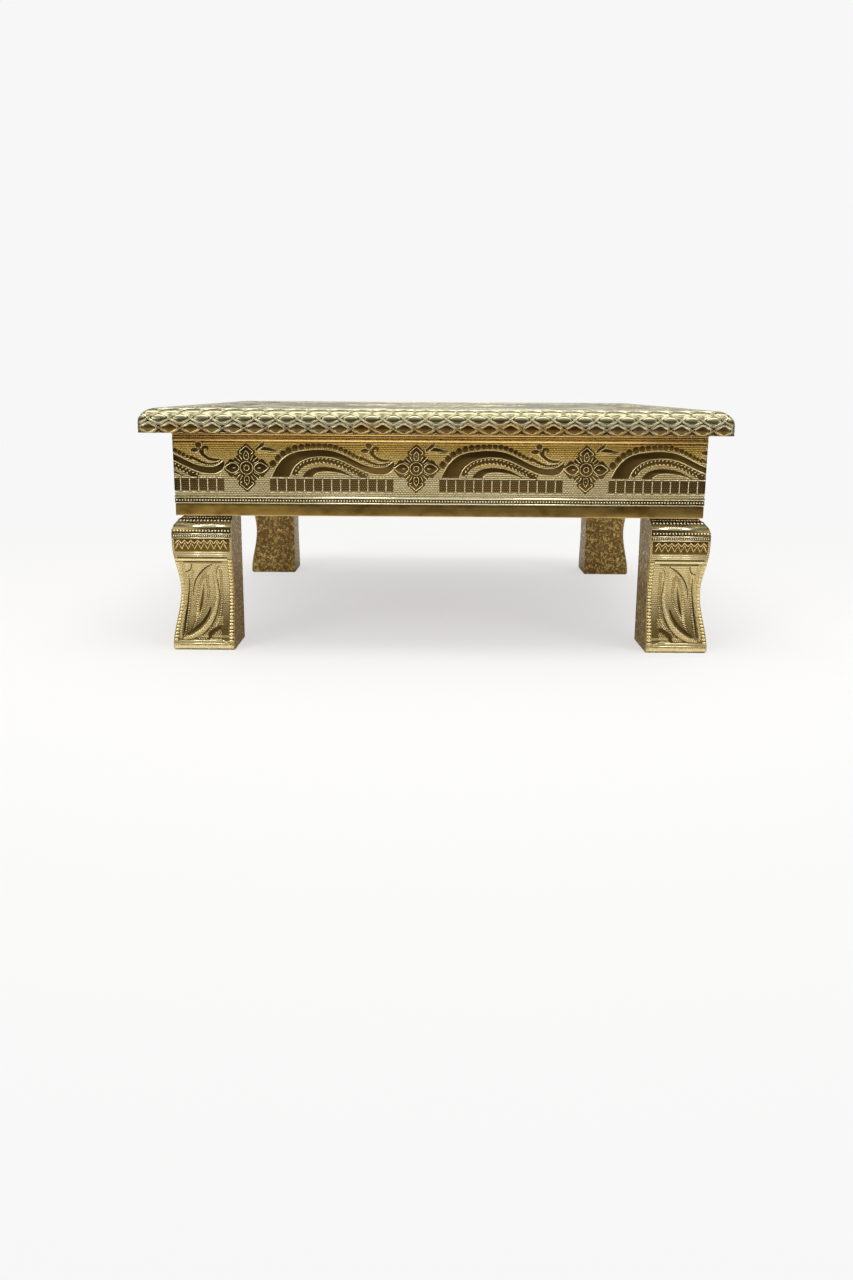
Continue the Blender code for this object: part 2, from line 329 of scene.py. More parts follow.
class Graph:
    """Adds nodes to a node tree; numbers and sockets are taken alike."""

    def __init__(self, tree):
        self.tree = tree

    def put(self, node_type, **settings):
        node = self.tree.nodes.new(node_type)
        for key, value in settings.items():
            setattr(node, key, value)
        return node

    def link(self, value, socket):
        if isinstance(value, bpy.types.NodeSocket):
            self.tree.links.new(value, socket)
        elif value is not None:
            socket.default_value = value

    def math(self, operation, a, b=None):
        node = self.put("ShaderNodeMath", operation=operation)
        for value, socket in zip((a, b), node.inputs):
            self.link(value, socket)
        return node.outputs[0]

    def times(self, a, b):
        return self.math("MULTIPLY", a, b)

    def plus(self, a, b):
        return self.math("ADD", a, b)

    def mix(self, share, a, b):
        node = self.put("ShaderNodeMix", data_type="RGBA")
        self.link(share, node.inputs[0])
        for value, socket in ((a, node.inputs[6]), (b, node.inputs[7])):
            self.link((*value, 1.0) if isinstance(value, tuple) else value, socket)
        return node.outputs[2]

    def between(self, value, low, high, out_low=0.0, out_high=1.0, smooth=False):
        node = self.put("ShaderNodeMapRange", interpolation_type="SMOOTHSTEP" if smooth else "LINEAR")
        for given, socket in zip((value, low, high, out_low, out_high), node.inputs):
            self.link(given, socket)
        return node.outputs[0]

    def noise(self, vector, scale, detail=3.0, rough=0.55, distortion=0.0):
        node = self.put("ShaderNodeTexNoise")
        settings = {"Vector": vector, "Scale": scale, "Detail": detail, "Roughness": rough,
                    "Distortion": distortion}
        for label, value in settings.items():
            self.link(value, node.inputs[label])
        return node.outputs["Fac"]

    def object_place(self):
        return self.put("ShaderNodeTexCoord").outputs["Object"]

    def parted(self, vector):
        """The X, Y and Z of a vector."""
        node = self.put("ShaderNodeSeparateXYZ")
        self.link(vector, node.inputs[0])
        return node.outputs

    def stretched(self, vector, scale, turn=(0, 0, 0)):
        node = self.put("ShaderNodeMapping")
        self.link(vector, node.inputs["Vector"])
        node.inputs["Scale"].default_value = scale
        node.inputs["Rotation"].default_value = turn
        return node.outputs[0]

    def bump(self, height, distance, strength):
        node = self.put("ShaderNodeBump")
        for label, value in {"Height": height, "Distance": distance, "Strength": strength}.items():
            self.link(value, node.inputs[label])
        return node.outputs["Normal"]


def node_group(name, inputs, outputs):
    tree = bpy.data.node_groups.new(name, "ShaderNodeTree")
    for label, value in inputs:
        socket = tree.interface.new_socket(label, in_out="INPUT", socket_type="NodeSocketFloat")
        socket.default_value = value
    for label in outputs:
        tree.interface.new_socket(label, in_out="OUTPUT", socket_type="NodeSocketFloat")
    graph = Graph(tree)
    return tree, graph, graph.put("NodeGroupInput").outputs, graph.put("NodeGroupOutput").inputs


def sheet_directions(graph):
    """Distances along and up a sheet, whichever way it faces, from the object's own coordinates."""
    x, y, z = graph.parted(graph.object_place())
    facing = graph.parted(graph.put("ShaderNodeNewGeometry").outputs["True Normal"])
    faces_side = graph.math("GREATER_THAN", graph.math("ABSOLUTE", facing["X"]), 0.7)
    faces_up = graph.math("GREATER_THAN", graph.math("ABSOLUTE", facing["Z"]), 0.75)
    along_it = graph.plus(graph.times(x, graph.math("SUBTRACT", 1.0, faces_side)),
                          graph.times(y, faces_side))
    up_it = graph.plus(graph.times(z, graph.math("SUBTRACT", 1.0, faces_up)),
                       graph.times(y, faces_up))
    return along_it, up_it


def make_dot_rows():
    """Rows of small punched dots, as on the ground between the figures."""
    tree, graph, given, result = node_group(
        "punched_dot_rows", [("Row Pitch", 1.15 * MM), ("Dot Pitch", 1.0 * MM)], ["Dots", "Lines"])
    along_it, up_it = sheet_directions(graph)
    wobble = graph.between(graph.noise(graph.object_place(), 25, 1), 0, 1, -0.05 * MM, 0.05 * MM)
    rows = graph.math("DIVIDE", graph.plus(up_it, wobble), given["Row Pitch"])
    row_number = graph.math("FLOOR", rows)
    in_row = graph.math("SUBTRACT", graph.math("FRACT", rows), 0.5)
    stagger = graph.times(graph.math("MODULO", row_number, 2.0), 0.5)
    columns = graph.plus(graph.math("DIVIDE", along_it, given["Dot Pitch"]), stagger)
    in_column = graph.math("SUBTRACT", graph.math("FRACT", columns), 0.5)
    far = graph.math("SQRT", graph.plus(graph.times(in_row, in_row),
                                        graph.times(in_column, in_column)))
    graph.link(graph.between(far, 0.52, 0.12, smooth=True), result["Dots"])
    graph.link(graph.between(graph.math("ABSOLUTE", in_row), 0.5, 0.2, smooth=True), result["Lines"])
    return tree


def make_patina():
    """Cloudy tone, small dark specks and fine rubbing marks that years of handling leave on brass."""
    tree, graph, given, result = node_group("patina", [("Cloud Size", 18.0)], ["Tone", "Grime", "Rubbing"])
    place = graph.object_place()
    cloud = graph.noise(place, given["Cloud Size"], 4, 0.5)
    graph.link(graph.between(cloud, 0.3, 0.7), result["Tone"])
    specks = graph.noise(place, 900, 4, 0.7)
    graph.link(graph.between(specks, 0.56, 0.72, smooth=True), result["Grime"])
    strokes = graph.noise(graph.stretched(place, (0.25, 0.25, 1.0), (0.3, 0.2, 0.5)), 1500, 5, 0.7)
    graph.link(graph.between(strokes, 0.35, 0.65), result["Rubbing"])
    return tree


def make_hammering():
    """Overlapping small dents with speckles, as in hammer finish paint."""
    tree, graph, given, result = node_group("hammering", [("Dent Size", 420.0)], ["Height", "Flecks"])
    place = graph.object_place()
    cells = graph.put("ShaderNodeTexVoronoi", feature="SMOOTH_F1")
    graph.link(place, cells.inputs["Vector"])
    graph.link(given["Dent Size"], cells.inputs["Scale"])
    cells.inputs["Smoothness"].default_value = 0.35
    rough = graph.noise(place, 260, 5, 0.65, 0.6)
    graph.link(graph.plus(graph.times(cells.outputs["Distance"], 0.6), rough), result["Height"])
    graph.link(graph.between(graph.noise(place, 460, 5, 0.75, 0.8), 0.5, 0.60, smooth=True), result["Flecks"])
    return tree


DOT_ROWS = make_dot_rows()
PATINA = make_patina()
HAMMERING = make_hammering()


def new_material(name, metallic=1.0):
    material = bpy.data.materials.new(name)
    material.use_nodes = True
    shader = material.node_tree.nodes["Principled BSDF"].inputs
    shader["Metallic"].default_value = metallic
    return material, Graph(material.node_tree), shader


def surface(graph, shader, colour, roughness, normal=None):
    """Links what a material looks like to its shader."""
    graph.link(colour, shader["Base Color"])
    graph.link(roughness, shader["Roughness"])
    graph.link(normal, shader["Normal"])


def rubbed(graph, wear, low, high):
    """Roughness from low to high, after the rubbing marks."""
    return graph.between(wear["Rubbing"], 0, 1, low, high)


def placed(graph, tree, **values):
    node = graph.put("ShaderNodeGroup", node_tree=tree)
    for label, value in values.items():
        node.inputs[label.replace("_", " ")].default_value = value
    return node.outputs


def punched_brass(name, dot, groove, warm, low, high, roughness=0.32, row_pitch=1.15, dot_pitch=1.0):
    """Sheet with punched dot rows: bright dots on a dark groove, warmer from height low to height high, a
    painted reflection of warmer light from above.
    """
    material, graph, shader = new_material(name)
    rows = placed(graph, DOT_ROWS, Row_Pitch=row_pitch * MM, Dot_Pitch=dot_pitch * MM)
    wear = placed(graph, PATINA, Cloud_Size=22.0)
    height = graph.parted(graph.object_place())["Z"]
    # Painted light: the share of the high tone grows with height.
    painted_light_share = graph.between(height, low, high, smooth=True)
    bright = graph.mix(painted_light_share, dot, warm)
    bright = graph.mix(graph.times(wear["Tone"], 0.35), bright, groove)
    colour = graph.mix(rows["Dots"], groove, bright)
    colour = graph.mix(graph.times(wear["Grime"], 0.3), colour, (0.05, 0.03, 0.01))
    relief = graph.bump(graph.plus(rows["Dots"], graph.times(wear["Rubbing"], 0.06)), 0.25 * MM, 0.8)
    surface(graph, shader, colour, rubbed(graph, wear, roughness - 0.06, roughness + 0.10), relief)
    return material


def smooth_brass(name, light, dark, roughness, grime=0.35, clouds=30.0):
    """Polished or burnished brass, cloudy from light to dark, with rubbing marks."""
    material, graph, shader = new_material(name)
    wear = placed(graph, PATINA, Cloud_Size=clouds)
    colour = graph.mix(wear["Tone"], light, dark)
    colour = graph.mix(graph.times(wear["Grime"], grime), colour, (0.04, 0.025, 0.01))
    relief = graph.bump(graph.times(wear["Rubbing"], 0.03), 1.0 * MM, 0.5)
    surface(graph, shader, colour, rubbed(graph, wear, roughness - 0.05, roughness + 0.10), relief)
    return material


def shaded_brass(name, low_colour, high_colour, low, high, roughness, rows=0.0):
    """Brass with one tone below height low and another above high, a painted change of light and shade with
    height; rows is the depth of punched rows.
    """
    material, graph, shader = new_material(name)
    wear = placed(graph, PATINA, Cloud_Size=30.0)
    height = graph.parted(graph.object_place())["Z"]
    uneven = graph.between(wear["Tone"], 0, 1, -4 * MM, 4 * MM)
    # Painted light and shade: the tone turns from the low one to the high one with height.
    painted_light_share = graph.between(graph.plus(height, uneven), low, high, smooth=True)
    colour = graph.mix(painted_light_share, low_colour, high_colour)
    colour = graph.mix(graph.times(wear["Grime"], 0.25), colour, (0.04, 0.025, 0.01))
    relief = graph.times(wear["Rubbing"], 0.2)
    if rows:
        punched = placed(graph, DOT_ROWS, Row_Pitch=1.3 * MM, Dot_Pitch=1.1 * MM)
        colour = graph.mix(graph.between(punched["Dots"], 0, 1, rows, 0), colour, (0.10, 0.07, 0.022))
        relief = graph.plus(relief, punched["Dots"])
    relief = graph.bump(relief, 0.2 * MM, 0.5)
    surface(graph, shader, colour, rubbed(graph, wear, roughness - 0.05, roughness + 0.10), relief)
    return material


def folded_brass():
    """Smooth sheet of the base strip, with a painted highlight at its left end and duller away from it,
    cloudy and warm at its lower fold, with a painted shadow along its top edge and a painted highlight along
    its lower lip.
    """
    material, graph, shader = new_material("plain_brass")
    wear = placed(graph, PATINA, Cloud_Size=26.0)
    place = graph.parted(graph.object_place())
    # Painted highlight: the left end of the strip is bright gold, fading to dull brass between 15 cm and 5 cm
    # left of the middle.
    left_highlight_fade = graph.between(place["X"], -0.15, -0.05, smooth=True)
    colour = graph.mix(left_highlight_fade, (0.32, 0.205, 0.045), (0.135, 0.092, 0.026))
    fold = graph.between(place["Z"], BASE_STRIP_LOW.z, BASE_STRIP_LOW.z + 4.5 * MM, 1.0, 0.0, smooth=True)
    colour = graph.mix(graph.times(fold, wear["Tone"]), colour, (0.42, 0.26, 0.065))
    colour = graph.mix(graph.times(wear["Tone"], 0.6), colour, (0.13, 0.088, 0.027))
    # Painted shadow: darker along the top 2.2 mm of the strip, under the row of beads.
    painted_top_shadow = graph.between(place["Z"], BASE_STRIP_HIGH.z - 2.2 * MM, BASE_STRIP_HIGH.z, 0.0, 0.75,
                           smooth=True)
    colour = graph.mix(painted_top_shadow, colour, (0.07, 0.05, 0.015))
    # Painted highlight: a pale line just above the strip's lower edge.
    painted_lip_highlight = graph.between(place["Z"], BASE_STRIP_LOW.z + 0.35 * MM, BASE_STRIP_LOW.z + 0.7 * MM, 0.7, 0.0)
    colour = graph.mix(painted_lip_highlight, colour, (0.72, 0.52, 0.26))
    uneven = graph.times(graph.noise(graph.object_place(), 45, 2), 1.6)
    surface(graph, shader, colour, rubbed(graph, wear, 0.12, 0.24), graph.bump(uneven, 1.0 * MM, 0.5))
    return material


def hammered_paint():
    material, graph, shader = new_material("hammered_bronze_paint", 0.45)
    dents = placed(graph, HAMMERING)
    wear = placed(graph, PATINA, Cloud_Size=40.0)
    colour = graph.mix(dents["Flecks"], (0.17, 0.098, 0.024), (0.88, 0.64, 0.21))
    colour = graph.mix(graph.times(wear["Tone"], 0.4), colour, (0.28, 0.17, 0.042))
    roughness = graph.between(dents["Flecks"], 0, 1, 0.50, 0.28)
    surface(graph, shader, colour, roughness, graph.bump(dents["Height"], 0.5 * MM, 0.8))
    return material


def bare_wood():
    material, graph, shader = new_material("bare_wood", 0.0)
    drawn_out = graph.stretched(graph.object_place(), (1.0, 9.0, 9.0))
    grain = graph.noise(drawn_out, 18, 6, 0.6, 1.2)
    fibres = graph.noise(drawn_out, 160, 4, 0.6)
    colour = graph.mix(graph.between(grain, 0.35, 0.65), (0.30, 0.17, 0.08), (0.52, 0.34, 0.18))
    colour = graph.mix(graph.between(fibres, 0.45, 0.75, 0, 0.5), colour, (0.20, 0.11, 0.05))
    surface(graph, shader, colour, graph.between(fibres, 0, 1, 0.6, 0.85), graph.bump(fibres, 0.3 * MM, 0.5))
    return material


def zinc_steel():
    material, graph, shader = new_material("zinc_steel")
    wear = placed(graph, PATINA, Cloud_Size=120.0)
    colour = graph.mix(wear["Tone"], (0.62, 0.62, 0.60), (0.42, 0.42, 0.43))
    surface(graph, shader, colour, rubbed(graph, wear, 0.28, 0.45))
    return material


# Frieze ground: pale dots at the foot turning warm gold toward the top, a painted reflection of the brass
# under the board's overhang. Leg ground: a little lighter toward the top, a slight painted light.
FRIEZE_GROUND = punched_brass("frieze_ground", (1.0, 0.92, 0.58), (0.145, 0.095, 0.026), (1.0, 0.68, 0.16),
                              FRIEZE_LOW.z + 12 * MM, FRIEZE_HIGH.z - 8 * MM, roughness=0.26, row_pitch=1.22)
EDGE_GROUND = smooth_brass("edge_ground", (0.13, 0.105, 0.050), (0.06, 0.048, 0.020), 0.20)
# Top ground: paler, greyer brass than the sides, a painted reflection of the grey background seen across the
# top.
TOP_GROUND = punched_brass("top_ground", (0.76, 0.69, 0.45), (0.34, 0.28, 0.14), (0.76, 0.69, 0.45),
                           BOARD_BASE, TABLE_TOP, roughness=0.18)
LEG_GROUND = punched_brass("leg_ground", (0.82, 0.68, 0.34), (0.30, 0.22, 0.08), (0.84, 0.72, 0.38),
                           0.0, LEG_TOP, row_pitch=1.3, dot_pitch=1.15)
RIDGE = smooth_brass("ridge_brass", (0.98, 0.86, 0.47), (0.86, 0.71, 0.33), 0.18, grime=0.2)
PALE_RIDGE = smooth_brass("pale_ridge_brass", (1.0, 0.94, 0.70), (0.92, 0.84, 0.55), 0.15, grime=0.15)
# Top ridges: a paler, greyer copy of the ridge brass, a painted reflection as on the top ground.
TOP_RIDGE = smooth_brass("top_ridge_brass", (0.88, 0.82, 0.58), (0.76, 0.69, 0.44), 0.18, grime=0.2)
# Gold ridge and bed of the frieze's upper moulding: warmer than the other brass, a painted reflection of the
# brass under the board, as on the frieze ground's top.
GOLD_RIDGE = smooth_brass("gold_ridge_brass", (0.92, 0.66, 0.24), (0.80, 0.53, 0.17), 0.24, grime=0.2)
GOLD_BED = smooth_brass("gold_bed_brass", (0.40, 0.26, 0.075), (0.26, 0.16, 0.045), 0.26)
# Edge ridges: warmer on the lowest row, paler and greyer higher up the nose, a painted reflection of the dim
# horizon below and the bright ceiling above.
EDGE_RIDGE = shaded_brass("edge_ridge_brass", (0.64, 0.46, 0.19), (0.64, 0.59, 0.38), BOARD_BASE,
                          BOARD_BASE + 7 * MM, 0.13)
DARK = smooth_brass("burnished_brass", (0.17, 0.108, 0.034), (0.050, 0.031, 0.009), 0.32, clouds=9.0)
BED = smooth_brass("bed_brass", (0.17, 0.12, 0.042), (0.10, 0.07, 0.024), 0.26)
BAR = punched_brass("bar_brass", (0.26, 0.18, 0.065), (0.045, 0.028, 0.009), (0.26, 0.18, 0.065),
                    FRIEZE_LOW.z, FRIEZE_HIGH.z, row_pitch=1.3, dot_pitch=1.2)
# Pillows: dark brown on the lowest row, lighter and greyer higher up the nose, a painted reflection of the
# ceiling on the upper rows.
PILLOW = shaded_brass("polished_pillow_brass", (0.14, 0.085, 0.022), (0.27, 0.25, 0.155), BOARD_BASE + 1 * MM,
                      BOARD_BASE + 10 * MM, 0.14)
LEAF = smooth_brass("leaf_brass", (0.90, 0.76, 0.41), (0.76, 0.61, 0.28), 0.22, grime=0.25)
HATCHED_LEAF = punched_brass("hatched_leaf_brass", (0.97, 0.83, 0.47), (0.40, 0.295, 0.115),
                             (0.97, 0.83, 0.47), 0.0, LEG_TOP, roughness=0.22, row_pitch=1.2)
LEG_DARK = smooth_brass("leg_burnished_brass", (0.12, 0.078, 0.026), (0.06, 0.038, 0.013), 0.28)
# Leg panel bed: dark brown below 10 mm and light gold above 42 mm, a painted shade where the lower leg
# reflects the dim front and painted light higher up.
SHADE = shaded_brass("painted_shade_brass", (0.23, 0.168, 0.060), (0.98, 0.80, 0.42), 10 * MM, 42 * MM, 0.28,
                     rows=0.75)
# Bed under the hatched bands: near black low down and brown higher up, the same painted shade and light with
# height as the leg bed.
HATCH_BED = shaded_brass("hatch_bed_brass", (0.085, 0.058, 0.019), (0.28, 0.20, 0.070), 18 * MM, 52 * MM,
                         0.28)
OCHRE = smooth_brass("ochre_brass", (0.17, 0.098, 0.022), (0.10, 0.058, 0.014), 0.28)
OCHRE_LIGHT = smooth_brass("ochre_ridge_brass", (1.0, 0.82, 0.42), (0.82, 0.62, 0.28), 0.20)
PLAIN = folded_brass()
PAINT = hammered_paint()
WOOD = bare_wood()
STEEL = zinc_steel()


# ---------------------------------------------------------------- frieze relief

def mirrored(points):
    """A right hand outline and its mirror image, from the top point down and up again."""
    left = [(-p[0], *p[1:]) for p in points if abs(p[0]) > 0.01]
    return points + left[::-1]


def sharpened(points):
    return [(*point, "sharp") for point in points]


def sharp_ended(points):
    return sharpened(points[:1]) + points[1:-1] + sharpened(points[-1:])


def turned_about(points, turn):
    c, s = math.cos(math.radians(turn)), math.sin(math.radians(turn))
    return [(p[0] * c - p[1] * s, p[0] * s + p[1] * c, *p[2:]) for p in points]


def circle(radius, x=0, y=0, count=8):
    return [(x + radius * math.cos(math.tau * i / count), y + radius * math.sin(math.tau * i / count))
            for i in range(count)]


def make_flower():
    """The four petalled flower with rays between the petals."""
    petal = mirrored([(0, 16, "sharp"), (3.5, 12.7), (5.8, 10.2), (3.7, 7.4), (1.9, 4.6)])
    chevron = [(3, 9), (4.3, 10.1), (2.5, 12.1), (0, 14.3, "sharp"), (-2.5, 12.1), (-4.3, 10.1), (-3, 9)]
    drop = mirrored([(0, 11.4, "sharp"), (1.6, 8.4), (1, 5.8), (0, 5.2)])
    leaf = mirrored([(0, 14.4, "sharp"), (2.3, 11.6), (3.3, 8.9), (1.7, 5.8), (0, 5)])
    plates = [turned_about(petal, turn) for turn in (0, 90, 180, 270)]
    beams = []
    for turn in (45, 135, 225, 315):
        for lean, reach in ((-16, 9.4), (0, 10.8), (16, 9.4)):
            beams.append(turned_about([(0, 5.4, 0.6), (0, 8, 1), (0, reach, 0.6)], turn + lean))
    return join([
        raised_plate([circle(10, count=12)], DARK, rise=0.10),
        raised_plate(plates, DARK, rise=0.18),
        raised_plate([circle(4.3)], DARK, rise=0.26),
        raised_lines([turned_about(chevron, turn) for turn in (0, 180)], RIDGE, 0.55, 0.38),
        raised_lines([turned_about(drop, turn) for turn in (0, 180)], RIDGE, 0.42, 0.36, True),
        raised_lines([turned_about(leaf, turn) for turn in (90, 270)], RIDGE, 0.55, 0.38, True),
        stamped(dome(RIDGE, 0.7, 2.6, 0.34, 8, 6), [(8.2, 0), (-8.2, 0)]),
        raised_lines(beams, RIDGE, width=0.5, height=0.34, resolution=3),
        raised_lines([circle(4.1), circle(1.7)], RIDGE, 0.45, 0.42, True, resolution=4),
        stamped(dome(RIDGE, 0.9, 0.9, 0.4), [(0, 8), (0, -8)]),
    ])


RIBBON_TOP = [(16.2, -5.6), (19, -0.2), (21.4, 3.4), (26.7, 8.2), (32.2, 10.5), (38.7, 11.6), (45.5, 12.2),
              (52.3, 12), (59, 10.8), (64.3, 8.8), (68.8, 6.6), (73.3, 4.3), (77.8, 2.4), (82.3, 1.2),
              (86.8, 0.8), (91.4, 1.4), (94.4, 3.3), (96.2, 4.8)]
RIBBON_UNDER = [(28.2, -5.6), (30.4, -0.8), (34.2, 3.2), (38.7, 5.7), (44.7, 7.2), (50.8, 7.4), (56.8, 6.7),
                (62.8, 4.8), (68, 2.3), (73.3, -0.1), (77.8, -2), (82.3, -3.4), (86.8, -3.9), (91.4, -3.6),
                (95.1, -1.6), (97, 1.4)]
WAVE_BEADS = [(17.3, 3.2, 40, 1.2), (20.8, 6.8, 45, 1.15), (24.1, 9.7, 35, 1.05), (27.8, 11.7, 30, 1.1),
              (32, 13.3, 20, 1.05), (36.1, 14.2, 15, 1), (40.2, 14.8, 10, 0.97), (44.1, 15.1, 5, 0.93),
              (47.8, 15.2, 0, 0.9), (51.5, 15.1, -5, 0.9), (55.2, 14.7, -10, 0.88), (58.6, 13.9, -15, 0.88),
              (61.9, 12.7, -25, 0.84), (64.9, 11.3, -28, 0.80), (67.6, 9.9, -28, 0.76),
              (70.2, 8.7, -28, 0.70), (72.6, 7.6, -26, 0.62), (74.8, 6.6, -24, 0.55)]
BARS = (15.1, 96.2, -15.1, -7.1)
BAR_PITCH = 5.94
BAR_LINES = 13


def make_sprig():
    """The bud on a curled stem above a wave's tail."""
    bud = [(80.2, 17.2, "sharp"), (82.1, 15.9), (82, 13.5), (80.2, 12.6), (78.3, 13.6), (78.2, 15.9)]
    bud_leaf = [(74.2, 11.2, "sharp"), (76, 12.6), (78.6, 12.9), (80.9, 11.6, "sharp"), (78.8, 9.9),
                (76.2, 10.1)]
    stem = [(80.4, 12.4, 0.8), (81.8, 9.9, 1.1), (84.6, 7.2, 1.1), (88.6, 5.3, 1), (93.4, 5.2, 0.7)]
    hook = [(83.4, 9.6, 0.6), (82.9, 11.9, 1), (84.3, 13.3, 1), (86, 12.6, 0.9), (85.6, 11, 0.5)]
    hook_edge = [(84.6, 9.2), (84, 11), (84.6, 12)]
    under_edge = [(79, 10.4), (81, 8.4), (84, 6), (88.4, 4.1), (93.2, 4)]
    over_edge = [(84.9, 8.8), (87.4, 7), (90.4, 6.5), (94, 6.9)]
    return [
        raised_plate([bud, bud_leaf], DARK, rise=0.24),
        raised_lines([stem, hook], DARK, 1.7, 0.34),
        raised_lines([hook_edge, under_edge, over_edge], RIDGE, 0.5, 0.40),
        raised_lines([bud_leaf, bud], RIDGE, 0.36, 0.34, cyclic=True, resolution=4),
    ]


def make_wave():
    """The ribbon that rises beside a flower and runs down to the next, with what lies round it."""
    ribbon = sharp_ended(RIBBON_TOP) + sharp_ended(RIBBON_UNDER)[::-1]
    crescent = [(36.5, -5.6, "sharp"), (39.5, -2), (44.8, 0.3), (50.8, 0.9), (56.8, 0.2), (62.8, -1.6),
                (68.4, -4.6), (71, -5.8, "sharp"), (67, -5), (61.5, -3.2), (52.3, -1.9), (46.3, -2.8),
                (43.4, -5.6, "sharp")]
    lens_top = [(43.6, -5.2), (46.3, -3.2), (52.3, -2.2), (58.3, -2.8), (64.3, -4), (67.7, -5.2)]
    stroke = [(5.9, 11.4), (8.2, 14.6), (10.4, 16.6), (12.9, 18, "sharp"), (12.2, 15.2), (9.6, 12.4),
              (7.2, 10.9)]
    wavy = [(7.4, 11.3, "sharp"), (11.2, 13.7), (15, 13.4), (18.6, 12.3), (23, 12, "sharp"), (18.8, 10.4),
            (14.8, 10.9), (11, 11.3)]
    wavy_foot = [(7.6, 9.7), (11.7, 10.2), (16.2, 9.5), (21.2, 9.8)]
    leafy_bed = [(31.2, -4.6), (33.6, 0), (38, 3.4), (44, 5), (50.4, 5.2), (56.8, 4.3), (63, 2.2),
                 (69, -0.8), (75, -3.8), (79.5, -5.4)]
    leafy_top = [(32.4, -1.6), (35.8, 2.7), (41.8, 5.3), (49.3, 6.3), (55, 5.8), (61, 3.9), (66.6, 1.4),
                 (72.4, -1.5), (78.4, -4.2)]
    leafy_low = [(32.8, -4.2), (37.3, 0.4), (43.3, 2.9), (49.3, 3.7), (55.3, 3.2), (61.4, 1.4), (66.8, -1),
                 (72.2, -3.6)]
    feather_bed = [(74.6, 7.2), (79, 5), (83.4, 2.9), (88, 2.2), (92.8, 3.2), (95, 4.6)]
    feather_top = [(74.8, 8.7), (79.3, 6.9), (83.1, 4.9), (87.6, 3.8), (93.6, 4.6)]
    feather_low = [(76.4, 4.8), (80.8, 3), (86, 1.9), (91.2, 2.2), (94.6, 4)]
    tail_low = [(79.5, -5.4), (84, -5.7), (89, -5.8), (94, -4.6)]
    beads = [(x, y - 0.4, turn, 1.28 * size) for x, y, turn, size in WAVE_BEADS]
    scallops = along([(x + 0.8, y - 2.35) for x, y, _, _ in WAVE_BEADS[1:]], 1.5, 1.1, 0.9)
    leafy = [(x, y, t + 35, s) for x, y, t, s in along(leafy_top, 2.5, 1, 0.9)]
    leafy += [(x, y, t - 35, s) for x, y, t, s in along(leafy_low, 2.5, 1, 0.9)]
    feathers = along(feather_top, 1.55, 1, 1) + along(feather_low, 1.55, 1, 1)
    feathers += along(tail_low, 2.2, 1.2, 1.2)
    parts = [
        raised_plate([ribbon], DARK, rise=0.10),
        raised_plate([crescent], DARK, rise=0.12),
        raised_plate([stroke], DARK, rise=0.22),
        raised_plate([wavy], DARK, rise=0.22),
        raised_lines([leafy_bed], DARK, 3.6, 0.12),
        raised_lines([feather_bed], DARK, 1.6, 0.14),
        raised_lines([RIBBON_TOP, RIBBON_UNDER], RIDGE, 0.60, 0.4),
        raised_lines([lens_top, wavy_foot], RIDGE, 0.55, 0.34),
        raised_lines([stroke, wavy], RIDGE, 0.42, 0.36, cyclic=True, resolution=4),
        stamped(dome(DARK, 3, 3.1, 0.36, 12, 8), beads),
        stamped(dome(RIDGE, 0.8, 1.9, 0.34, 8, 4), leafy),
        stamped(dome(RIDGE, 0.7, 1.05, 0.38, 6, 4), feathers),
        stamped(dome(RIDGE, 0.72, 1.15, 0.38, 6, 4), scallops),
    ]
    return join(parts + make_sprig())


def make_bars():
    """The dark bars under a wave, parted by dotted lines between two broken ones."""
    left, right, low, high = BARS
    dots, dashes = [], []
    first = (left + right - BAR_PITCH * (BAR_LINES - 1)) / 2
    for line in range(BAR_LINES):
        x = first + BAR_PITCH * line
        dots += row((x, low + 0.1), (x, high - 0.1), 1)
        dashes += [(x - BAR_PITCH / 2, high + 0.75, 0, 1), (x - BAR_PITCH / 2, low - 0.7, 0, 0.8)]
    dashes += [(right - 2.4, high + 0.75, 0, 0.8), (right - 2.4, low - 0.7, 0, 0.7)]
    return join([
        raised_plate([sharpened(box_outline(left, low, right, high))], BAR, rise=0.08, resolution=1),
        stamped(dome(PALE_RIDGE, 0.85, 5.2, 0.40, 8, 4), dashes),
        stamped(dome(PALE_RIDGE, 1, 0.95, 0.42, 8, 4), dots),
    ])


def frieze_relief():
    """The whole pattern of one frieze sheet, flat, with Y from the foot of the box."""
    half = BOX_HALF / MM
    end = half + 1
    flowers = [FIRST_FLOWER + WAVE_PITCH * k for k in range(-1, 4)]
    figures = stamped(join([make_flower(), make_wave(), make_bars()]),
                      [(x, FLOWER_HEIGHT) for x in flowers if x - FLOWER_HALF < half])
    lines = []
    for height, width, rise, finish in ((8.5, 1, 0.45, PALE_RIDGE), (12.2, 1.6, 0.50, PALE_RIDGE),
                                        (47.5, 0.45, 0.28, GOLD_RIDGE), (49.6, 2.7, 0.42, GOLD_RIDGE),
                                        (53, 1.3, 0.45, GOLD_RIDGE)):
        path = [(-end, height), (end, height)]
        lines.append(raised_lines([path], finish, width, rise, resolution=1, sides=2))
    for height, width, finish in ((BEAD_HEIGHT, 2.4, BED), (48, 0.6, GOLD_BED),
                                  (SPECK_HEIGHT, 1.6, GOLD_BED)):
        lines.append(raised_lines([[(-end, height), (end, height)]], finish, width, 0.14, resolution=1))
    bead_row = row((-half, BEAD_HEIGHT), (half, BEAD_HEIGHT), 1.9)
    speck_row = row((-half, SPECK_HEIGHT), (half, SPECK_HEIGHT), 1.25)
    beads = stamped(dome(PALE_RIDGE, 1.3, 1.15, 0.5, 8, 6), bead_row)
    specks = stamped(dome(RIDGE, 0.75, 0.7, 0.34, 6, 4), speck_row)
    return join([figures, beads, specks, *lines])


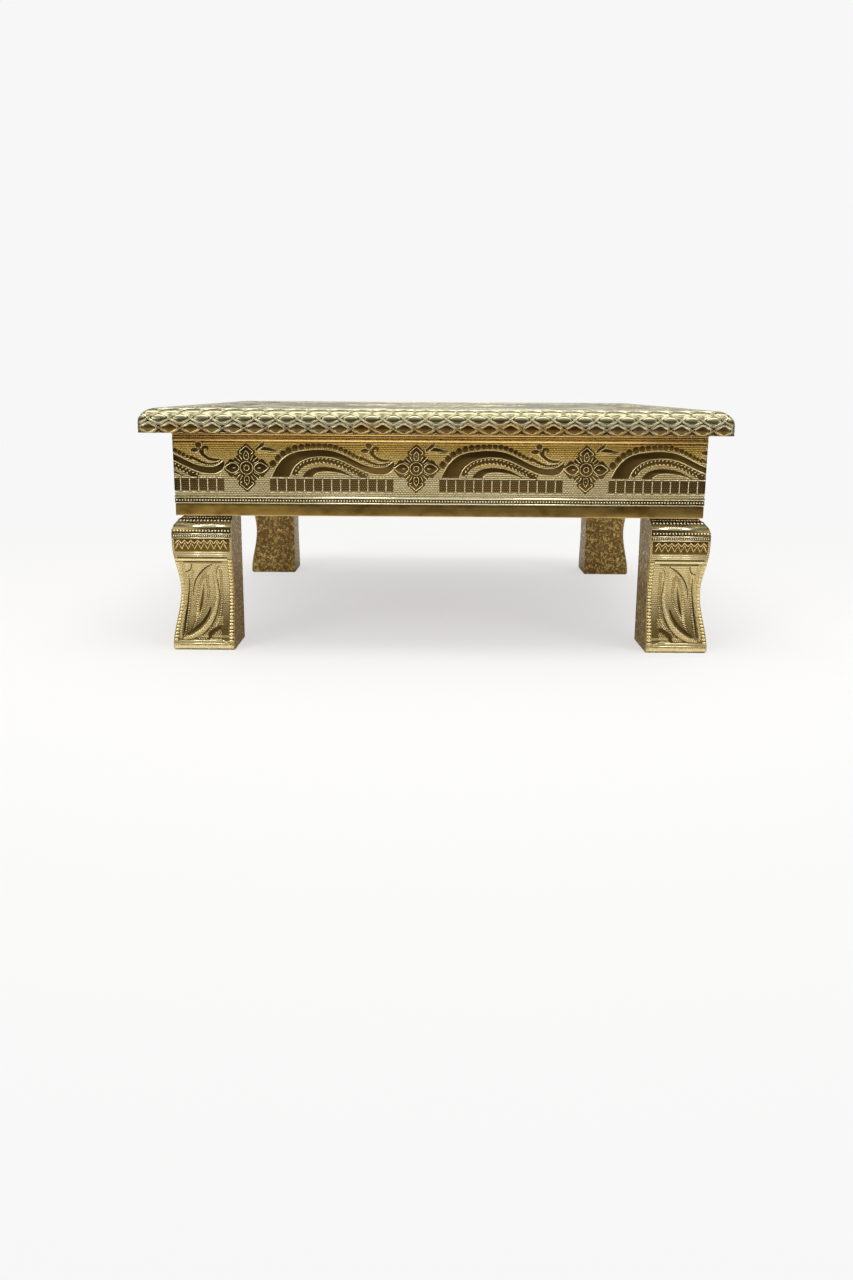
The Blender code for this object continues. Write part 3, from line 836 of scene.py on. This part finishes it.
def lay_on_frieze(x, y, out):
    return Vector((BOX_X + x, -BOX_HALF - out, BASE_STRIP_LOW.z + y))


def build_friezes():
    reach = BOX_HALF + 0.2 * MM
    ends = [(Vector((BOX_X + end * reach, 0, 0)), Vector((end, 0, 0))) for end in (-1, 1)]
    on_each_side(frieze_relief(), "frieze_relief", lay_on_frieze, ends, BOX_X)


# ---------------------------------------------------------------- board's edge

BOARD_FLAT = TABLE_TOP - BOARD_BASE - NOSE_RADIUS      # upright part of the board's edge
NOSE_ARC = NOSE_RADIUS * math.pi / 2
STRIP_TOP = BOARD_HALF - NOSE_RADIUS - TOP_HALF        # flat part of the edge strip on the top
UNDER_FLANGE = 10 * MM


def edge_point(up, out):
    """(distance from the table's axis, height) at a distance up the edge strip's ground and out of it."""
    if up <= BOARD_FLAT:
        return BOARD_HALF - EMBOSS + out, BOARD_BASE + up
    centre, centre_z = BOARD_HALF - NOSE_RADIUS, TABLE_TOP - NOSE_RADIUS
    if up <= BOARD_FLAT + NOSE_ARC:
        angle = (up - BOARD_FLAT) / NOSE_RADIUS
        radius = NOSE_RADIUS - EMBOSS + out
        return centre + radius * math.cos(angle), centre_z + radius * math.sin(angle)
    return centre - (up - BOARD_FLAT - NOSE_ARC), TABLE_TOP - EMBOSS + out


def lay_on_edge(x, y, out):
    distance, height = edge_point(y, out)
    return Vector((x, -distance, height))


def make_pillow():
    """A polished boss shaped like a lozenge with soft points."""
    pillow = dome(PILLOW, 5, 8.6, 0.30, 16, 8)
    for vert in pillow.data.vertices:
        share = vert.co.x / (4.3 * MM)
        vert.co.y *= 1 - 0.32 * share * share
    return pillow


def lozenge_loop(x, y, half_x, half_y):
    """A loop round a lozenge boss, thick along its sides and thin at its points."""
    side = (0.56 * half_x, 0.57 * half_y)
    quarters = [(half_x, 0, 0.7), (*side, 1.15), (0, half_y, 0.9), (-side[0], side[1], 1.15)]
    return [(x + sign * px, y + sign * py, wide) for sign in (1, -1) for px, py, wide in quarters]


def lozenge_pattern(width, rows, first_row, pitch):
    """Rows of lozenge bosses, each in two outlines, with dots along the bands between them."""
    count = round(width / pitch)
    bosses, outlines, thin_outlines, dots = [], [], [], []
    for number in range(-1, rows):
        height = first_row + LOZENGE_ROW * number
        start = -width / 2 + (0 if number % 2 else pitch / 2)
        for x in (start + pitch * k for k in range(-1, count + 2)):
            size = LOW_LOZENGE if number < 1 else HIGH_LOZENGE
            bosses.append((x, height, 0, size))
            outlines.append(lozenge_loop(x, height, 5.3 * size, 3.1 * size))
            thin_outlines.append(lozenge_loop(x, height, 6.2 * size, 3.9 * size))
            for way in (-1, 1):
                dots += row((x + way * pitch / 2, height), (x, height + LOZENGE_ROW), 1.02)
    return join([
        stamped(make_pillow(), bosses),
        raised_lines(outlines, EDGE_RIDGE, 0.80, 0.40, cyclic=True, resolution=2),
        raised_lines(thin_outlines, EDGE_RIDGE, 0.42, 0.30, cyclic=True, resolution=2),
        stamped(dome(EDGE_RIDGE, 0.72, 0.72, 0.34, 6, 4), dots),
    ])


def profile_bar(name, outline, half_length, finish):
    """A bent strip along X: a flat outline of (distance, height) filled, drawn out and faced to the front."""
    obj = bezier([sharpened([(d / MM, h / MM) for d, h in outline])], True, 1, flat=True)
    obj.data.fill_mode = "BOTH"
    obj.data.extrude = half_length
    obj = to_mesh(obj)
    obj.name = name
    facing = Matrix(((0, 0, -1), (-1, 0, 0), (0, 1, 0))).to_4x4()
    obj.data.transform(facing)
    tidy_faces(obj)
    bpy.ops.object.shade_smooth_by_angle(angle=math.radians(25))
    obj.data.materials.append(finish)
    return obj


def build_edges():
    steps = 14
    ups = [0, BOARD_FLAT] + [BOARD_FLAT + NOSE_ARC * k / steps for k in range(1, steps + 1)]
    ups.append(BOARD_FLAT + NOSE_ARC + STRIP_TOP)
    outer = [(BOARD_HALF - UNDER_FLANGE, BOARD_BASE)] + [edge_point(up, 0) for up in ups]
    inner = [(BOARD_HALF - UNDER_FLANGE, BOARD_BASE + SHEET), (outer[1][0] - SHEET, BOARD_BASE + SHEET)]
    inner += [edge_point(up, -SHEET) for up in ups[1:]]
    pattern = lozenge_pattern(2 * BOARD_HALF / MM, 4, FIRST_ROW, 2 * BOARD_HALF / MM / LOZENGES)
    trimmed(pattern, [(Vector((0, ups[-1], 0)), Vector((0, 1, 0))),
                      (Vector((0, 0.05 * MM, 0)), Vector((0, -1, 0)))])
    for turn, side in enumerate(SIDES):
        relief = lay(copy_of(pattern, f"edge_relief_{side}"), lay_on_edge)
        ground = profile_bar(f"edge_ground_{side}", outer + inner[::-1], BOARD_HALF, EDGE_GROUND)
        for piece in (relief, ground):
            settle(turn_to_side(trimmed(piece, MITRES), turn, 0))
        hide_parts(f"edge_strip_{side}")
    bpy.data.objects.remove(pattern, do_unlink=True)


# ---------------------------------------------------------------- top

TOP_RELIEF = 0.25 * MM        # depth of the low relief on the top
TOP_GROUND_Z = TABLE_TOP - TOP_RELIEF
TOP_SQUASH = 0.22             # how much lower the frieze's figures are on the top
BAND_START = 7              # of the frieze pattern that starts at the edge of the top
FIELD_HALF = 126.0


def lay_on_top_band(x, y, out):
    return Vector((x, y - BAND_START * MM - TOP_HALF, TOP_GROUND_Z + out * TOP_SQUASH))


def lay_on_top(x, y, out):
    return Vector((x, y, TOP_GROUND_Z + out * TOP_SQUASH))


def with_top_reflection_tone(obj):
    """Gives the light ridges the paler, greyer brass of the top, a painted reflection of the grey background
    that the top mirrors at a glancing view.
    """
    for number, finish in enumerate(obj.data.materials):
        if finish in (RIDGE, PALE_RIDGE, GOLD_RIDGE):
            obj.data.materials[number] = TOP_RIDGE
    return obj


def rays(outline, count, start=0):
    return [turned_about(outline, start + 360 * k / count) for k in range(count)]


def ring_places(radius, count, size=1, x=0, y=0):
    return [(x + radius * math.cos(math.tau * k / count), y + radius * math.sin(math.tau * k / count),
             math.degrees(math.tau * k / count) + 90, size) for k in range(count)]


def top_medallion():
    """The rosette in the middle of the top, with a quarter of a smaller one in each corner of the field."""
    long_petal = mirrored([(0, 61, "sharp"), (4, 54), (5.2, 46), (3.6, 37), (1.6, 31)])
    short_petal = mirrored([(0, 27.5, "sharp"), (3.5, 22.5), (4, 17.5), (2.2, 11), (1.2, 8)])
    vein = [(0, 34, 0.5), (0, 46, 1), (0, 56, 0.4)]
    arch = [(-6.9, 66.5), (-4.8, 72.5), (0, 75.5), (4.8, 72.5), (6.9, 66.5)]
    corner_petal = mirrored([(0, 40, "sharp"), (4, 34), (4.8, 27), (3, 18), (1.4, 12)])
    corners, corner_rings, corner_beads = [], [], []
    for sx, sy in ((1, 1), (-1, 1), (-1, -1), (1, -1)):
        centre = math.degrees(math.atan2(-sx, sy)) + 180
        for lean in (-36, -12, 12, 36):
            corners.append([(x + sx * FIELD_HALF, y + sy * FIELD_HALF, *rest)
                            for x, y, *rest in turned_about(corner_petal, centre + lean)])
        for radius in (9, 44, 49):
            arc = [turned_about([(0, radius)], centre + lean)[0] for lean in range(-45, 46, 10)]
            corner_rings.append([(x + sx * FIELD_HALF, y + sy * FIELD_HALF) for x, y in arc])
        for lean in range(-44, 45, 4):
            x, y = turned_about([(0, 46.5)], centre + lean)[0]
            corner_beads.append((x + sx * FIELD_HALF, y + sy * FIELD_HALF))
    frame_lines = [sharpened(box_outline(-half, -half, half, half)) for half in (126.8, 122.6)]
    frame_beads = []
    for turn in range(4):
        ends = turned_about([(-124.7, -124.7), (124.7, -124.7)], 90 * turn)
        frame_beads += row(ends[0], ends[1], 3.1)
    beads = ring_places(30.5, 60, 1) + ring_places(64.2, 126, 1) + ring_places(5.6, 12, 0.9)
    return join([
        stamped(make_flower(), [(0, 97), (97, 0), (0, -97), (-97, 0)]),
        raised_plate(rays(long_petal, 16), DARK, rise=0.16),
        raised_plate(rays(short_petal, 12, 15), DARK, rise=0.16),
        raised_plate(corners, DARK, rise=0.16),
        raised_lines(rays(long_petal, 16) + rays(short_petal, 12, 15) + corners, RIDGE, 0.8,
                     0.42, cyclic=True),
        raised_lines(rays(vein, 16), RIDGE, 0.9, 0.42),
        raised_lines(rays(arch, 32), RIDGE, 0.9, 0.42),
        raised_lines([circle(r, count=24) for r in (29, 32, 62.6, 65.8)], RIDGE, 0.8, 0.42,
                     cyclic=True),
        raised_lines(corner_rings, RIDGE, 0.8, 0.42),
        raised_lines(frame_lines, RIDGE, 1.2, 0.45, cyclic=True, resolution=1),
        stamped(dome(RIDGE, 1.9, 1.9, 0.45, 8, 6), beads + frame_beads + corner_beads),
        dome(RIDGE, 7.5, 7.5, 0.5, 20, 8),
    ])


def build_top():
    bpy.ops.mesh.primitive_cube_add(size=1, location=(0, 0, TOP_GROUND_Z - SHEET / 2))
    ground = bpy.context.object
    ground.scale = (2 * TOP_HALF, 2 * TOP_HALF, SHEET)
    bpy.ops.object.transform_apply(location=True, rotation=False, scale=True)
    ground.name = "top_ground"
    ground.data.materials.append(TOP_GROUND)
    settle(ground)
    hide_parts("top_sheet")
    on_each_side(with_top_reflection_tone(frieze_relief()), "top_relief", lay_on_top_band, MITRES)
    centre = with_top_reflection_tone(lay(top_medallion(), lay_on_top))
    centre.name = "top_centre_relief"
    settle(centre)


# ---------------------------------------------------------------- legs

SHOULDER = LEG_TOP - LEG_TOP_RADIUS
LEG_UP = SHOULDER + LEG_TOP_RADIUS * math.pi / 2       # way up a leg's face and over its rounded top


def leg_curve(height):
    """How far a leg's face stands out of the box's face at a height below the shoulder."""
    foot = LEG_FOOT_OUT - BOX_HALF
    if height < LEG_WAIST_Z:
        swing = (1 + math.cos(math.pi * height / LEG_WAIST_Z)) / 2
        return LEG_WAIST + (foot - LEG_WAIST) * swing
    share = min(1, (height - LEG_WAIST_Z) / (LEG_BULGE_Z - LEG_WAIST_Z))
    return LEG_WAIST + (LEG_BULGE - LEG_WAIST) * (1 - math.cos(math.pi * share)) / 2


def leg_point(up, out):
    """(distance from the leg's axis, height) at a distance up a leg's face and out of it."""
    if up <= SHOULDER:
        return BOX_HALF + leg_curve(up) + out, up
    angle = (up - SHOULDER) / LEG_TOP_RADIUS
    centre = BOX_HALF + LEG_BULGE - LEG_TOP_RADIUS
    radius = LEG_TOP_RADIUS + out
    return centre + radius * math.cos(angle), SHOULDER + radius * math.sin(angle)


def lay_on_leg(x, y, out):
    """x runs from the leg's corner to its inner edge, squeezed to the width that the leg has there."""
    corner, _ = leg_point(y, 0)
    distance, height = leg_point(y, out)
    across = corner + (LEG_FOOT_OUT - LEG_FACE - corner) * x / LEG_FACE
    return Vector((-across, -distance, height))


def lay_on_leg_side(x, y, out):
    point = lay_on_leg(x, y, out)
    return Vector((point.y, point.x, point.z))


def hatched(path, pitch, wide_start, wide_end):
    """Short dashes across a path, as wide as the band that they fill."""
    return along(path, pitch, wide_start / DASH, wide_end / DASH)


def filling(outline, pitch):
    """Staggered places inside a straight sided outline."""
    low_x, high_x = min(x for x, _ in outline), max(x for x, _ in outline)
    low_y, high_y = min(y for _, y in outline), max(y for _, y in outline)
    places = []
    for j in range(int((high_y - low_y) / pitch) + 1):
        for i in range(int((high_x - low_x) / pitch) + 1):
            x, y = low_x + pitch * (i + 0.25 + 0.5 * (j % 2)), low_y + pitch * (j + 0.5)
            crossings = sum((y0 > y) != (y1 > y) and x < x0 + (x1 - x0) * (y - y0) / (y1 - y0)
                            for (x0, y0), (x1, y1) in zip(outline, outline[1:] + outline[:1]))
            if crossings % 2:
                places.append((x, y))
    return places


def leg_leaf():
    """The long leaf, the curling stem and the hatched bands in a leg's panel."""
    outer_band = [(4.9, 58.5, 0.9), (4.4, 50, 1.2), (3.7, 42, 1.2), (3.2, 31.4, 0.9), (3.7, 19, 0.9),
                  (3.8, 12.6, 0.9), (4.6, 7.6, 0.5)]
    contour = [(26.5, 58.2, 0.7), (20.8, 55.4), (17, 52.5), (13.4, 48.8), (10.7, 44.4), (9.5, 40, 0.8),
               (9.4, 36, 0.5)]
    inner_edge = [(24.6, 56.2, 0.6), (20, 53), (16.2, 49.6), (13.6, 45.6), (11.5, 41), (11, 36, 0.6)]
    slit = [(18.1, 46, "sharp"), (17.9, 40), (17.5, 34), (16.7, 29), (15.1, 24.4, "sharp"), (15, 29),
            (15.3, 34), (16.4, 40)]
    stem = [(29.6, 58, 0.5), (27.2, 53, 0.9), (26.7, 49, 1), (27.1, 44, 1), (27.8, 37.7, 1.1),
            (27.2, 31.4, 1.1), (25.8, 25, 1.1), (23.8, 19.4, 1.15), (21, 15.4, 1.2), (17.4, 12, 1.2),
            (12.8, 9.3, 1), (6.2, 7.4, 0.4)]
    stem_shade = [(x + 1.95 * wide, y - 0.9, 1) for x, y, wide in stem[2:-1]]
    hook = [(32.4, 57.6, 0.5), (30.2, 56, 0.9), (28.8, 53.2, 1), (28.6, 50.2, 0.6)]
    top_fan = [(5.4 + 6 * math.cos(a), 58.8 + 6 * math.sin(a)) for a in (-1.5, -1.15, -0.8, -0.45, -0.1)]
    low_fan = [(32 + 7.7 * math.cos(a), 7.6 + 7.7 * math.sin(a)) for a in (3.14, 2.8, 2.46, 2.12, 1.78, 1.57)]
    # Painted shadow: a dark strip in the hollow between the stem and the outer band.
    groove = [(9, 10.8, 0.7), (13, 13.6, 1), (17.6, 17.6, 1.1), (21.4, 23.2, 1), (23.4, 29, 0.7),
              (24.4, 35, 0.4)]
    # Painted shadow: a dark line along the inner side of the outer band.
    band_shadow = [(7.6, 52, 0.5), (6.5, 44, 0.8), (5.8, 34, 1), (5.9, 22, 1.2), (6.8, 11, 1.2)]
    fan_foot = [(24.6, 6.9), (32.4, 6.9), (32.4, 7.9), (24.6, 7.9)]
    under_stem = [(32.8, 16.4), (29.4, 16.2), (25.6, 14.4), (23.2, 11.2), (22.6, 7.2), (15.6, 7.6),
                  (20, 10.2), (23.4, 13.6), (26.2, 18), (28.2, 22.4), (32.8, 22.4)]
    fan_core = [(32.6, 8.6), (27, 8.6), (27.8, 11.4), (29.8, 13.2), (32.6, 13.8)]
    bands = (
        ([(11.1, 54), (9.4, 48.6), (7.9, 43), (7, 36), (7, 30), (7.3, 19), (7.3, 13), (6.6, 8.6)],
         3.1, 1.9),
        ([(21.3, 51.4), (17.2, 47.8), (14.7, 43.6), (13.2, 38), (12.9, 31.5), (13.9, 25)], 1.8, 3.6),
        ([(13.9, 24), (14, 20), (13, 16.4), (11.4, 13)], 3.8, 1.2),
        ([(21.5, 50.4), (20.9, 46), (21.3, 40), (20.9, 35.6), (19.6, 31), (17.6, 26.6), (15.6, 22.6)],
         1.9, 2.9),
        ([(31.7, 54.6), (31.7, 50), (31.3, 44), (31.6, 36), (31.4, 30), (30.7, 24), (29.2, 18.4),
          (27.6, 16.2)], 2, 2.6))
    dashes = [place for band in bands for place in hatched(band[0], 1.15, band[1], band[2])]
    rope = along([(x, y) for x, y, _ in stem[3:-1]], 1.3, 1, 0.9)
    dots = [(7 + 1.15 * i, 58.2 - 1.15 * j) for i in range(5) for j in range(5) if i * i + j * j < 17]
    dots += [(14.6 + 1.1 * i, 57.9 - 1.1 * j) for i in range(8) for j in range(4) if i + 1.6 * j < 7]
    dots += filling(under_stem, 1.2) + filling(fan_core, 1.2)
    return [
        raised_lines([path for path, _, _ in bands], HATCH_BED, 3.2, 0.24),
        raised_lines([contour], LEG_DARK, 1.2, 0.40),
        raised_lines([top_fan], LEG_DARK, 1.2, 0.34),
        raised_lines([hook, stem_shade], LEG_DARK, 0.75, 0.28),
        raised_plate([slit], HATCH_BED, rise=0.20),
        raised_lines([low_fan], LEG_DARK, 3.2, 0.30),
        raised_lines([groove], LEG_DARK, 3.2, 0.24),
        raised_lines([band_shadow], LEG_DARK, 1.7, 0.30),
        raised_lines([inner_edge], HATCHED_LEAF, 2.2, 0.42, sides=2),
        raised_lines([outer_band], HATCHED_LEAF, 2.4, 0.42, sides=2),
        raised_lines([stem], HATCHED_LEAF, 3.5, 0.60, sides=3),
        raised_plate([sliced(fan_foot)], LEAF, rise=0.25, resolution=1),
        stamped(dome(LEAF, DASH, 0.68, 0.50, 6, 4), dashes),
        stamped(dome(PALE_RIDGE, 1.9, 0.55, 0.86, 6, 4), [(x, y, t + 20, z) for x, y, t, z in rope]),
        stamped(dome(LEAF, 0.85, 1, 0.38, 6, 4), dots),
    ]


def leg_relief():
    """The pattern of one leg face, flat: X from the leg's corner to its inner edge, Y up from the floor."""
    width = LEG_FACE / MM
    low = LEG_FOOT_Z / MM + 0.3
    bed = box_outline(0.3, 6.2, width - 3.5, 59.2)
    border_bed = box_outline(width - 3.4, 4.6, width - 0.2, 61.6)
    crown_bed = box_outline(0.3, 75.4, width - 0.2, LEG_UP / MM - 0.6)
    lights = [box_outline(0.3, low, width - 0.3, 3.9), box_outline(2.6, 60.5, width - 3.6, 61.7)]
    zigzag_bed = box_outline(1.6, 66.8, width - 1.2, 75.2)
    steps = [2.4 + (width - 5.6) * k / 16 for k in range(17)]
    zigzags = [[(x, height + (swing if k % 2 else -swing), "sharp") for k, x in enumerate(steps)]
               for height, swing in ((70.6, 2.1), (73.2, 1.1))]
    lozenges = [(x, 71.4, 0, 1.1) for x in steps[::2]] + [(x, 68.6) for x in steps[1::2]]
    lines = []
    for start, height, end, thick, rise in (
            (3.4, 6.4, width - 8.2, 0.75, 0.40), (1.2, 4.4, width - 3.6, 0.8, 0.40),
            (1.2, 63.6, width - 1.6, 0.6, 0.35), (1.2, 64.8, width - 1.6, 0.7, 0.40),
            (1.2, 66.2, width - 1.2, 0.6, 0.35), (1.2, 75.8, width - 0.4, 0.75, 0.45),
            (1.2, 78.5, width - 0.4, 0.8, 0.45), (1.2, 84.4, width - 0.4, 3, 0.50)):
        path = [(start, height), (end, height)]
        lines.append(raised_lines([path], PALE_RIDGE, thick, rise, resolution=1, sides=2))
    beads = []
    for height, size in ((77.2, 0.85), (80.6, 1.25), (88, 1.5), (91, 1.25), (93.4, 0.9)):
        beads += row((0.8, height), (width - 0.8, height), 1.75 * size, size)
    scallops = [(width - 1.85, 5.9 + 2.25 * k, 90, 1) for k in range(25)]
    scallops += [(1.45, 6.9 + 2.25 * k, 90, 0.85) for k in range(25)]
    foot_dots = row((1.5, 1.9), (width - 1.5, 1.9), 1.3) + row((1.5, 3.1), (width - 1.5, 3.1), 1.3)
    corner_line = [(width - 8, 6.8), (width - 4.4, 4.6)]
    parts = leg_leaf() + lines + [
        raised_plate([sliced(bed)], SHADE, rise=0.14, resolution=1),
        raised_plate([sliced(border_bed)], HATCH_BED, rise=0.14, resolution=1),
        raised_plate([sliced(crown_bed, 1.5)], BED, rise=0.10, resolution=1),
        raised_plate([sliced(light) for light in lights], LEAF, rise=0.22, resolution=1),
        raised_plate([sliced(zigzag_bed)], OCHRE, rise=0.12, resolution=1),
        raised_lines(zigzags, OCHRE_LIGHT, 0.85, 0.45, resolution=1),
        raised_lines([corner_line], LEAF, 0.9, 0.4, resolution=2),
        raised_lines([[(5.6, 59.4), (width - 7.4, 59.4)]], LEG_DARK, 0.95, 0.30, resolution=1),
        raised_lines([[(2.4, 62.5), (width - 3.4, 62.5)]], LEG_DARK, 0.85, 0.30, resolution=1),
        stamped(dome(LEG_DARK, 1.5, 2.2, 0.35, 6, 4), lozenges),
        stamped(dome(PALE_RIDGE, 1.15, 1.15, 0.5, 8, 6), beads),
        stamped(make_scallop(), scallops),
        stamped(dome(PALE_RIDGE, 0.75, 0.75, 0.5, 6, 4), foot_dots),
    ]
    return trimmed(join(parts), [(Vector((0, LEG_UP - 0.3 * MM, 0)), Vector((0, 1, 0)))])


def make_scallop():
    """A small fan shaped boss of a leg's border."""
    scallop = dome(LEAF, 3.3, 1.95, 0.6, 10, 6)
    for vert in scallop.data.vertices:
        bow = vert.co.y / (1.65 * MM)
        vert.co.x += 0.45 * MM * bow * bow
    return scallop


def leg_axis(corner):
    """Where across the table the axis lies that a leg was turned about."""
    boxes = [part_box(name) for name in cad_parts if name.startswith(f"leg_sheet_{corner}")]
    if "left" in corner:
        return min(low.x for low, _ in boxes) + LEG_FOOT_OUT
    return max(high.x for _, high in boxes) - LEG_FOOT_OUT


def build_legs():
    pattern = leg_relief()
    for turn, corner in enumerate(CORNERS):
        for facing, rule, mirrored in ((SIDES[turn], lay_on_leg, False),
                                       (SIDES[turn - 1], lay_on_leg_side, True)):
            relief = lay(copy_of(pattern, f"leg_relief_{corner}_{facing}"), rule, mirrored)
            relief.data.transform(Matrix.Translation((leg_axis(corner), 0, 0))
                                  @ Matrix.Rotation(math.radians(90) * turn, 4, "Z"))
            settle(relief)
    bpy.data.objects.remove(pattern, do_unlink=True)


# ---------------------------------------------------------------- CAD pieces

def finish_frame_nodes():
    """Gives every piece of the frame its finish, and rounds the shading of the turned and bent ones."""
    finishes = {"board_core": WOOD, "rail": WOOD, "corner_post": WOOD, "leg_core": PAINT, "base_strip": PLAIN,
                "frieze_sheet": FRIEZE_GROUND, "leg_sheet": LEG_GROUND, "edge_strip": EDGE_GROUND,
                "top_sheet": TOP_GROUND, "board_screw": STEEL, "dowel_screw": STEEL}
    for name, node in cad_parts.items():
        finish = next(material for start, material in finishes.items() if name.startswith(start))
        node.data.materials.clear()
        node.data.materials.append(finish)
        if name.startswith(("leg_", "board_screw", "dowel_screw", "edge_strip", "board_core")):
            node.data.shade_smooth()
            weld = node.modifiers.new("weld", "WELD")
            weld.merge_threshold = 0.001 * MM
            split = node.modifiers.new("split", "EDGE_SPLIT")
            split.split_angle = math.radians(30)
        if name.startswith("base_strip"):
            bevel = node.modifiers.new("bevel", "BEVEL")
            bevel.width = 0.28 * MM
            bevel.segments = 2


# ---------------------------------------------------------------- floor, light, camera

def build_floor():
    """A wide pale floor that fades into the background; away from the table it is dim in reflections."""
    bpy.ops.mesh.primitive_plane_add(size=24, location=(0, 0, 0))
    floor = bpy.context.object
    floor.name = "floor"
    material, graph, shader = new_material("pale_floor", 0.0)
    far = graph.put("ShaderNodeVectorMath", operation="LENGTH")
    graph.link(graph.object_place(), far.inputs[0])
    near_share = graph.between(far.outputs["Value"], 0.75, 2.4, smooth=True)
    seen = graph.put("ShaderNodeLightPath").outputs["Is Camera Ray"]
    dim = graph.times(near_share, graph.math("SUBTRACT", 1.0, seen))
    surface(graph, shader, graph.mix(dim, (0.82, 0.81, 0.80), (0.34, 0.20, 0.08)), 0.7)
    shader["Specular IOR Level"].default_value = 0.1
    glow = graph.put("ShaderNodeEmission")
    glow.inputs["Color"].default_value = (0.93, 0.93, 0.93, 1)
    # Painted light: for the camera the floor glows white, 62 percent of it near the table and all of it far
    # off, which lightens the table's shadow on the floor.
    fade = graph.times(graph.between(far.outputs["Value"], 0.2, 0.8, 0.62, 1.0, smooth=True), seen)
    blend = graph.put("ShaderNodeMixShader")
    graph.link(fade, blend.inputs[0])
    tree = material.node_tree
    tree.links.new(tree.nodes["Principled BSDF"].outputs[0], blend.inputs[1])
    tree.links.new(glow.outputs[0], blend.inputs[2])
    tree.links.new(blend.outputs[0], tree.nodes["Material Output"].inputs["Surface"])
    floor.data.materials.append(material)


def colour_ramp(graph, value, stops):
    """Blends through colours placed at values from -1 to 1."""
    ramp = graph.put("ShaderNodeValToRGB")
    elements = ramp.color_ramp.elements
    while len(elements) < len(stops):
        elements.new(0.5)
    for element, (position, colour) in zip(elements, stops):
        element.position = (position + 1) / 2
        element.color = (*colour, 1)
    graph.link(graph.between(value, -1, 1), ramp.inputs["Fac"])
    return ramp.outputs["Color"]


def build_world():
    """White behind the table; for reflections, a dim horizon under a bright ceiling."""
    world = bpy.data.worlds.new("studio")
    bpy.context.scene.world = world
    world.use_nodes = True
    graph = Graph(world.node_tree)
    way = graph.parted(graph.put("ShaderNodeTexCoord").outputs["Generated"])
    rise = way["Z"]
    front = colour_ramp(graph, rise, ((-1.0, (0.20, 0.13, 0.06)), (0.0, (0.26, 0.16, 0.07)),
                                      (0.18, (0.20, 0.15, 0.09)),
                                      (0.45, (0.15, 0.15, 0.13)), (0.75, (0.55, 0.56, 0.52)), (1.0,
                                                                                               (2.2, 2.2,
                                                                                                2.15))))
    rear = colour_ramp(graph, rise, ((-1.0, (0.5, 0.5, 0.5)), (0.0, (0.47, 0.455, 0.48)),
                                     (0.25, (0.42, 0.42, 0.42)),
                                     (0.65, (0.40, 0.41, 0.38)), (0.85, (0.9, 0.9, 0.88)), (1.0,
                                                                                            (2.0, 2.0,
                                                                                             1.95))))
    ceiling = graph.mix(graph.between(way["Y"], 0.0, 0.5, smooth=True), front, rear)
    seen = graph.put("ShaderNodeLightPath").outputs["Is Camera Ray"]
    background = world.node_tree.nodes["Background"]
    graph.link(graph.mix(seen, ceiling, (0.93, 0.93, 0.93)), background.inputs["Color"])
    background.inputs["Strength"].default_value = 1.0


def add_softbox(name, place, target, size, power):
    light = bpy.data.lights.new(name, "AREA")
    light.shape = "RECTANGLE"
    light.size, light.size_y = size
    light.energy = power
    obj = bpy.data.objects.new(name, light)
    bpy.context.scene.collection.objects.link(obj)
    obj.location = place
    obj.rotation_euler = (Vector(target) - Vector(place)).to_track_quat("-Z", "Y").to_euler()


def build_lights():
    add_softbox("overhead_softbox", (0.0, -0.3, 1.6), (0, 0, 0.1), (1.6, 0.5), 11)
    add_softbox("front_left_softbox", (-1.2, -1.5, 1.1), (0, 0, 0.08), (0.8, 0.8), 10)
    add_softbox("front_right_softbox", (1.3, -1.3, 0.9), (0, 0, 0.08), (0.7, 0.9), 7)
    add_softbox("rear_softbox", (0.3, 1.6, 1.2), (0, 0, 0.1), (1.2, 0.8), 2)


CAMERA_PLACE = (-3.2 * MM, -893.7 * MM, 174.1 * MM)
CAMERA_LENS = 30.606
CAMERA_DOWN, CAMERA_TURN, CAMERA_ROLL = 13.10, 0.16, 0.356


def build_camera():
    data = bpy.data.cameras.new("camera")
    data.lens = CAMERA_LENS
    data.sensor_width = 36
    data.clip_start = 0.01
    camera = bpy.data.objects.new("camera", data)
    bpy.context.scene.collection.objects.link(camera)
    aim = Matrix.Rotation(math.radians(CAMERA_TURN), 4, "Z")
    tilt = Matrix.Rotation(math.radians(90 - CAMERA_DOWN), 4, "X")
    roll = Matrix.Rotation(math.radians(CAMERA_ROLL), 4, "Z")
    camera.matrix_world = Matrix.Translation(CAMERA_PLACE) @ aim @ tilt @ roll
    bpy.context.scene.camera = camera


build_camera()
finish_frame_nodes()
build_friezes()
build_edges()
build_top()
build_legs()
build_floor()
build_world()
build_lights()
bpy.context.scene.view_settings.view_transform = "Standard"
